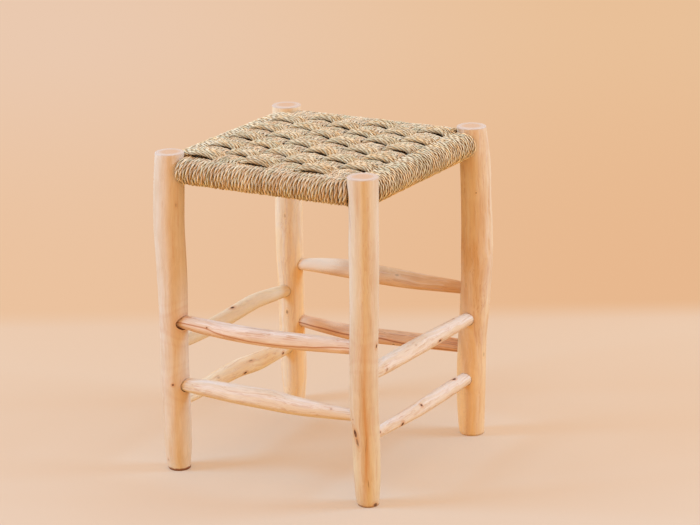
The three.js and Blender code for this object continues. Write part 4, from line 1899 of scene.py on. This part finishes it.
@dataclass
class Studio:
    """The camera, the floor and the light.

    Distances on the floor are from the stool's middle, away from the camera. The glow is what the
    camera sees of the room, and the bounce is the floor's colour for everything else.
    """

    eye: Vector = Vector((1.69096, -2.89924, 1.27719))
    forward: Vector = Vector((-0.474906, 0.832109, -0.286459))
    right: Vector = Vector((0.870698, 0.491572, -0.015562))
    focal_pixels: float = 2545.36
    picture_width: float = 700
    sensor_width: float = 36
    sight: float = 200
    floor_size: float = 40
    floor_near: Colour = (0.7, 0.567, 0.455)
    floor_far: Colour = (0.69, 0.54, 0.41)
    floor_change: tuple[float, float] = (-0.4, 0.5)
    bounce: Colour = (0.76, 0.5, 0.2)
    glow_floor: Colour = paint(232, 199, 174)
    glow_near: Colour = paint(234, 196, 160)
    near_share: float = 0.35
    glow_low: tuple[Colour, Colour] = (paint(235, 194, 158), paint(232, 184, 142))
    glow_high: tuple[Colour, Colour] = (paint(234, 201, 175), paint(233, 192, 152))
    glow_start: tuple[float, float] = (0.5, 0.68)
    glow_rise: tuple[float, float] = (0.6, 3.0)
    glow_aside: tuple[float, float] = (0.85, 1.4)
    eye_distance: float = 3.6
    half_sight: float = 0.12
    lamp_target: Vector = Vector((0, 0, 0.22))
    lamp_distance: float = 2.6
    lamp_size: float = 0.85
    lamp_elevation: float = 32
    left_swing: float = 8
    right_swing: float = -2
    lamp_power: float = 47
    lamp_colour: Colour = (0.2, 0.61, 1.0)
    left_share: Colour = (0.9, 1.12, 1.2)
    glow_colour: Colour = (1.1, 0.705, 0.39)

    def build(self) -> None:
        """Builds all three."""
        self.make_camera()
        self.make_floor()
        self.make_world()
        left_colour = tuple(c * s for c, s in zip(self.lamp_colour, self.left_share))
        self.make_lamp("left_softbox", self.turned(self.left_swing) * -1, left_colour)
        self.make_lamp("right_softbox", self.turned(self.right_swing), self.lamp_colour)

    def turned(self, degrees: float) -> Vector:
        """The direction to the right of the camera, turned in plan."""
        return Matrix.Rotation(math.radians(degrees), 3, "Z") @ self.right

    def make_camera(self) -> None:
        """Stands the camera where the photograph was taken from."""
        data = bpy.data.cameras.new("camera")
        data.sensor_width = self.sensor_width
        data.lens = self.focal_pixels / self.picture_width * data.sensor_width
        data.clip_end = self.sight
        camera = new_object("camera", data)
        ahead = self.forward.normalized()
        side = (self.right - ahead * self.right.dot(ahead)).normalized()
        turn = Matrix((side, side.cross(ahead), -ahead)).transposed().to_4x4()
        camera.matrix_world = Matrix.Translation(self.eye) @ turn
        bpy.context.scene.camera = camera

    def make_floor(self) -> None:
        """Lays a plain pale floor."""
        bm = bmesh.new()
        bmesh.ops.create_grid(bm, x_segments=1, y_segments=1, size=self.floor_size / 2)
        floor = new_object("studio_floor", mesh_from(bm, "studio_floor"))
        material, w = new_material("studio_floor_paper")
        place = w.signal("TexCoord", output="Object")
        ahead = Vector((self.forward.x, self.forward.y, 0)).normalized()
        distance = place.dot(ahead)
        sideways = place.dot(Vector((ahead.y, -ahead.x, 0)))
        seen = w.signal("LightPath", output="Is Camera Ray")
        colour = w.mix(distance.eased(*self.floor_change), self.floor_near, self.floor_far)
        paper_looks = {"Base Color": w.mix(seen, self.bounce, colour), "Roughness": 0.9}
        paper = w.signal("BsdfPrincipled", {**paper_looks, "Specular IOR Level": 0.1})
        across = (sideways / (distance + self.eye_distance)).eased(-self.half_sight, self.half_sight)
        low, high = (w.mix(across, *sides) for sides in (self.glow_low, self.glow_high))
        far = distance.eased(*self.glow_start)
        aside = place.length().eased(*self.glow_aside)
        near_glow = w.mix(aside, self.glow_near, self.glow_floor)
        far_glow = w.mix(distance.eased(*self.glow_rise), low, high)
        glow = w.signal("Emission", {"Color": w.mix(far, near_glow, far_glow)})
        share = far.step("MAXIMUM", aside).step("MAXIMUM", self.near_share) * seen
        mixed = w.signal("MixShader", {0: share, 1: paper, 2: glow})
        w.add("OutputMaterial", {"Surface": mixed})
        dress(floor, material)

    def make_world(self) -> None:
        """Surrounds the stool with the warm glow of a pale studio."""
        world = bpy.data.worlds.new("studio_glow")
        world.use_nodes = True
        w = Wiring(world.node_tree)
        glow = w.signal("Background", {"Color": self.glow_colour, "Strength": 1.0})
        w.add("OutputWorld", {"Surface": glow})
        bpy.context.scene.world = world

    def make_lamp(self, name: str, side: Vector, colour: Colour) -> None:
        """Hangs a softbox on one side of the stool.

        Args:
            name: The lamp's name.
            side: The direction towards it, seen from the stool.
            colour: The colour of its light.
        """
        data = bpy.data.lights.new(name, "AREA")
        data.shape = "SQUARE"
        data.size = self.lamp_size
        data.energy = self.lamp_power
        data.color = colour
        lamp = new_object(name, data)
        tilt = math.radians(self.lamp_elevation)
        flat = Vector((side.x, side.y, 0)).normalized()
        direction = flat * math.cos(tilt) + Vector((0, 0, math.sin(tilt)))
        lamp.location = self.lamp_target + direction * self.lamp_distance
        lamp.rotation_euler = direction.to_track_quat("Z", "Y").to_euler()


def main() -> None:
    """Builds the studio, the poles and the seat in order."""
    bpy.context.scene.view_settings.view_transform = "Standard"
    Studio().build()
    groups = Groups()
    poles = PoleFrame(groups, height=CAD_BOX[1].z - CAD_BOX[0].z)
    poles.build()
    half_x = (poles.right_x - poles.left_x) / 2
    half_y = (poles.rear_y - poles.front_y) / 2
    shared = {"middle": poles.middle, "rail_height": poles.rail_height, "rail_radius": poles.rail_radius}
    warps = RopeLayer(
        Layer.WARP, bands=6, turns_per_band=8, crossings=10, half_run=half_y, half_cross=half_x,
        underside=-0.0128, seed=7, over=0.0028, under=0.0034, arch=0, gather=0.03, softness=1.8,
        sink=0.35, bundle=0.0, widen=-0.12, crown=0.0016, rounds=23, lean=0.002, **shared,
    )
    wefts = RopeLayer(
        Layer.WEFT, bands=10, turns_per_band=5, crossings=6, half_run=half_x, half_cross=half_y,
        underside=-0.0184, seed=19, over=0.0041, under=0.0043, arch=0.0012, gather=0.02, softness=2.0,
        sink=0.0, bundle=0.2, widen=-0.16, crown=0.0002, rounds=26, fresh=0.6,
        corner_fans=(0.0052, 0.002), **shared,
    )
    warps.build(RopeFinish(name="warp_rope_fibre", rounds=warps.rounds).material(groups))
    weft_finish = RopeFinish(
        name="weft_rope_fibre", straw=paint(244, 223, 185), amber=paint(240, 196, 132),
        brown=paint(118, 72, 8), bright=paint(250, 238, 212), crevice=0.8, rounds=wefts.rounds,
    )
    wefts.build(weft_finish.material(groups))


if __name__ == "__main__":
    logging.basicConfig(level=logging.INFO, format="%(message)s")
    main()
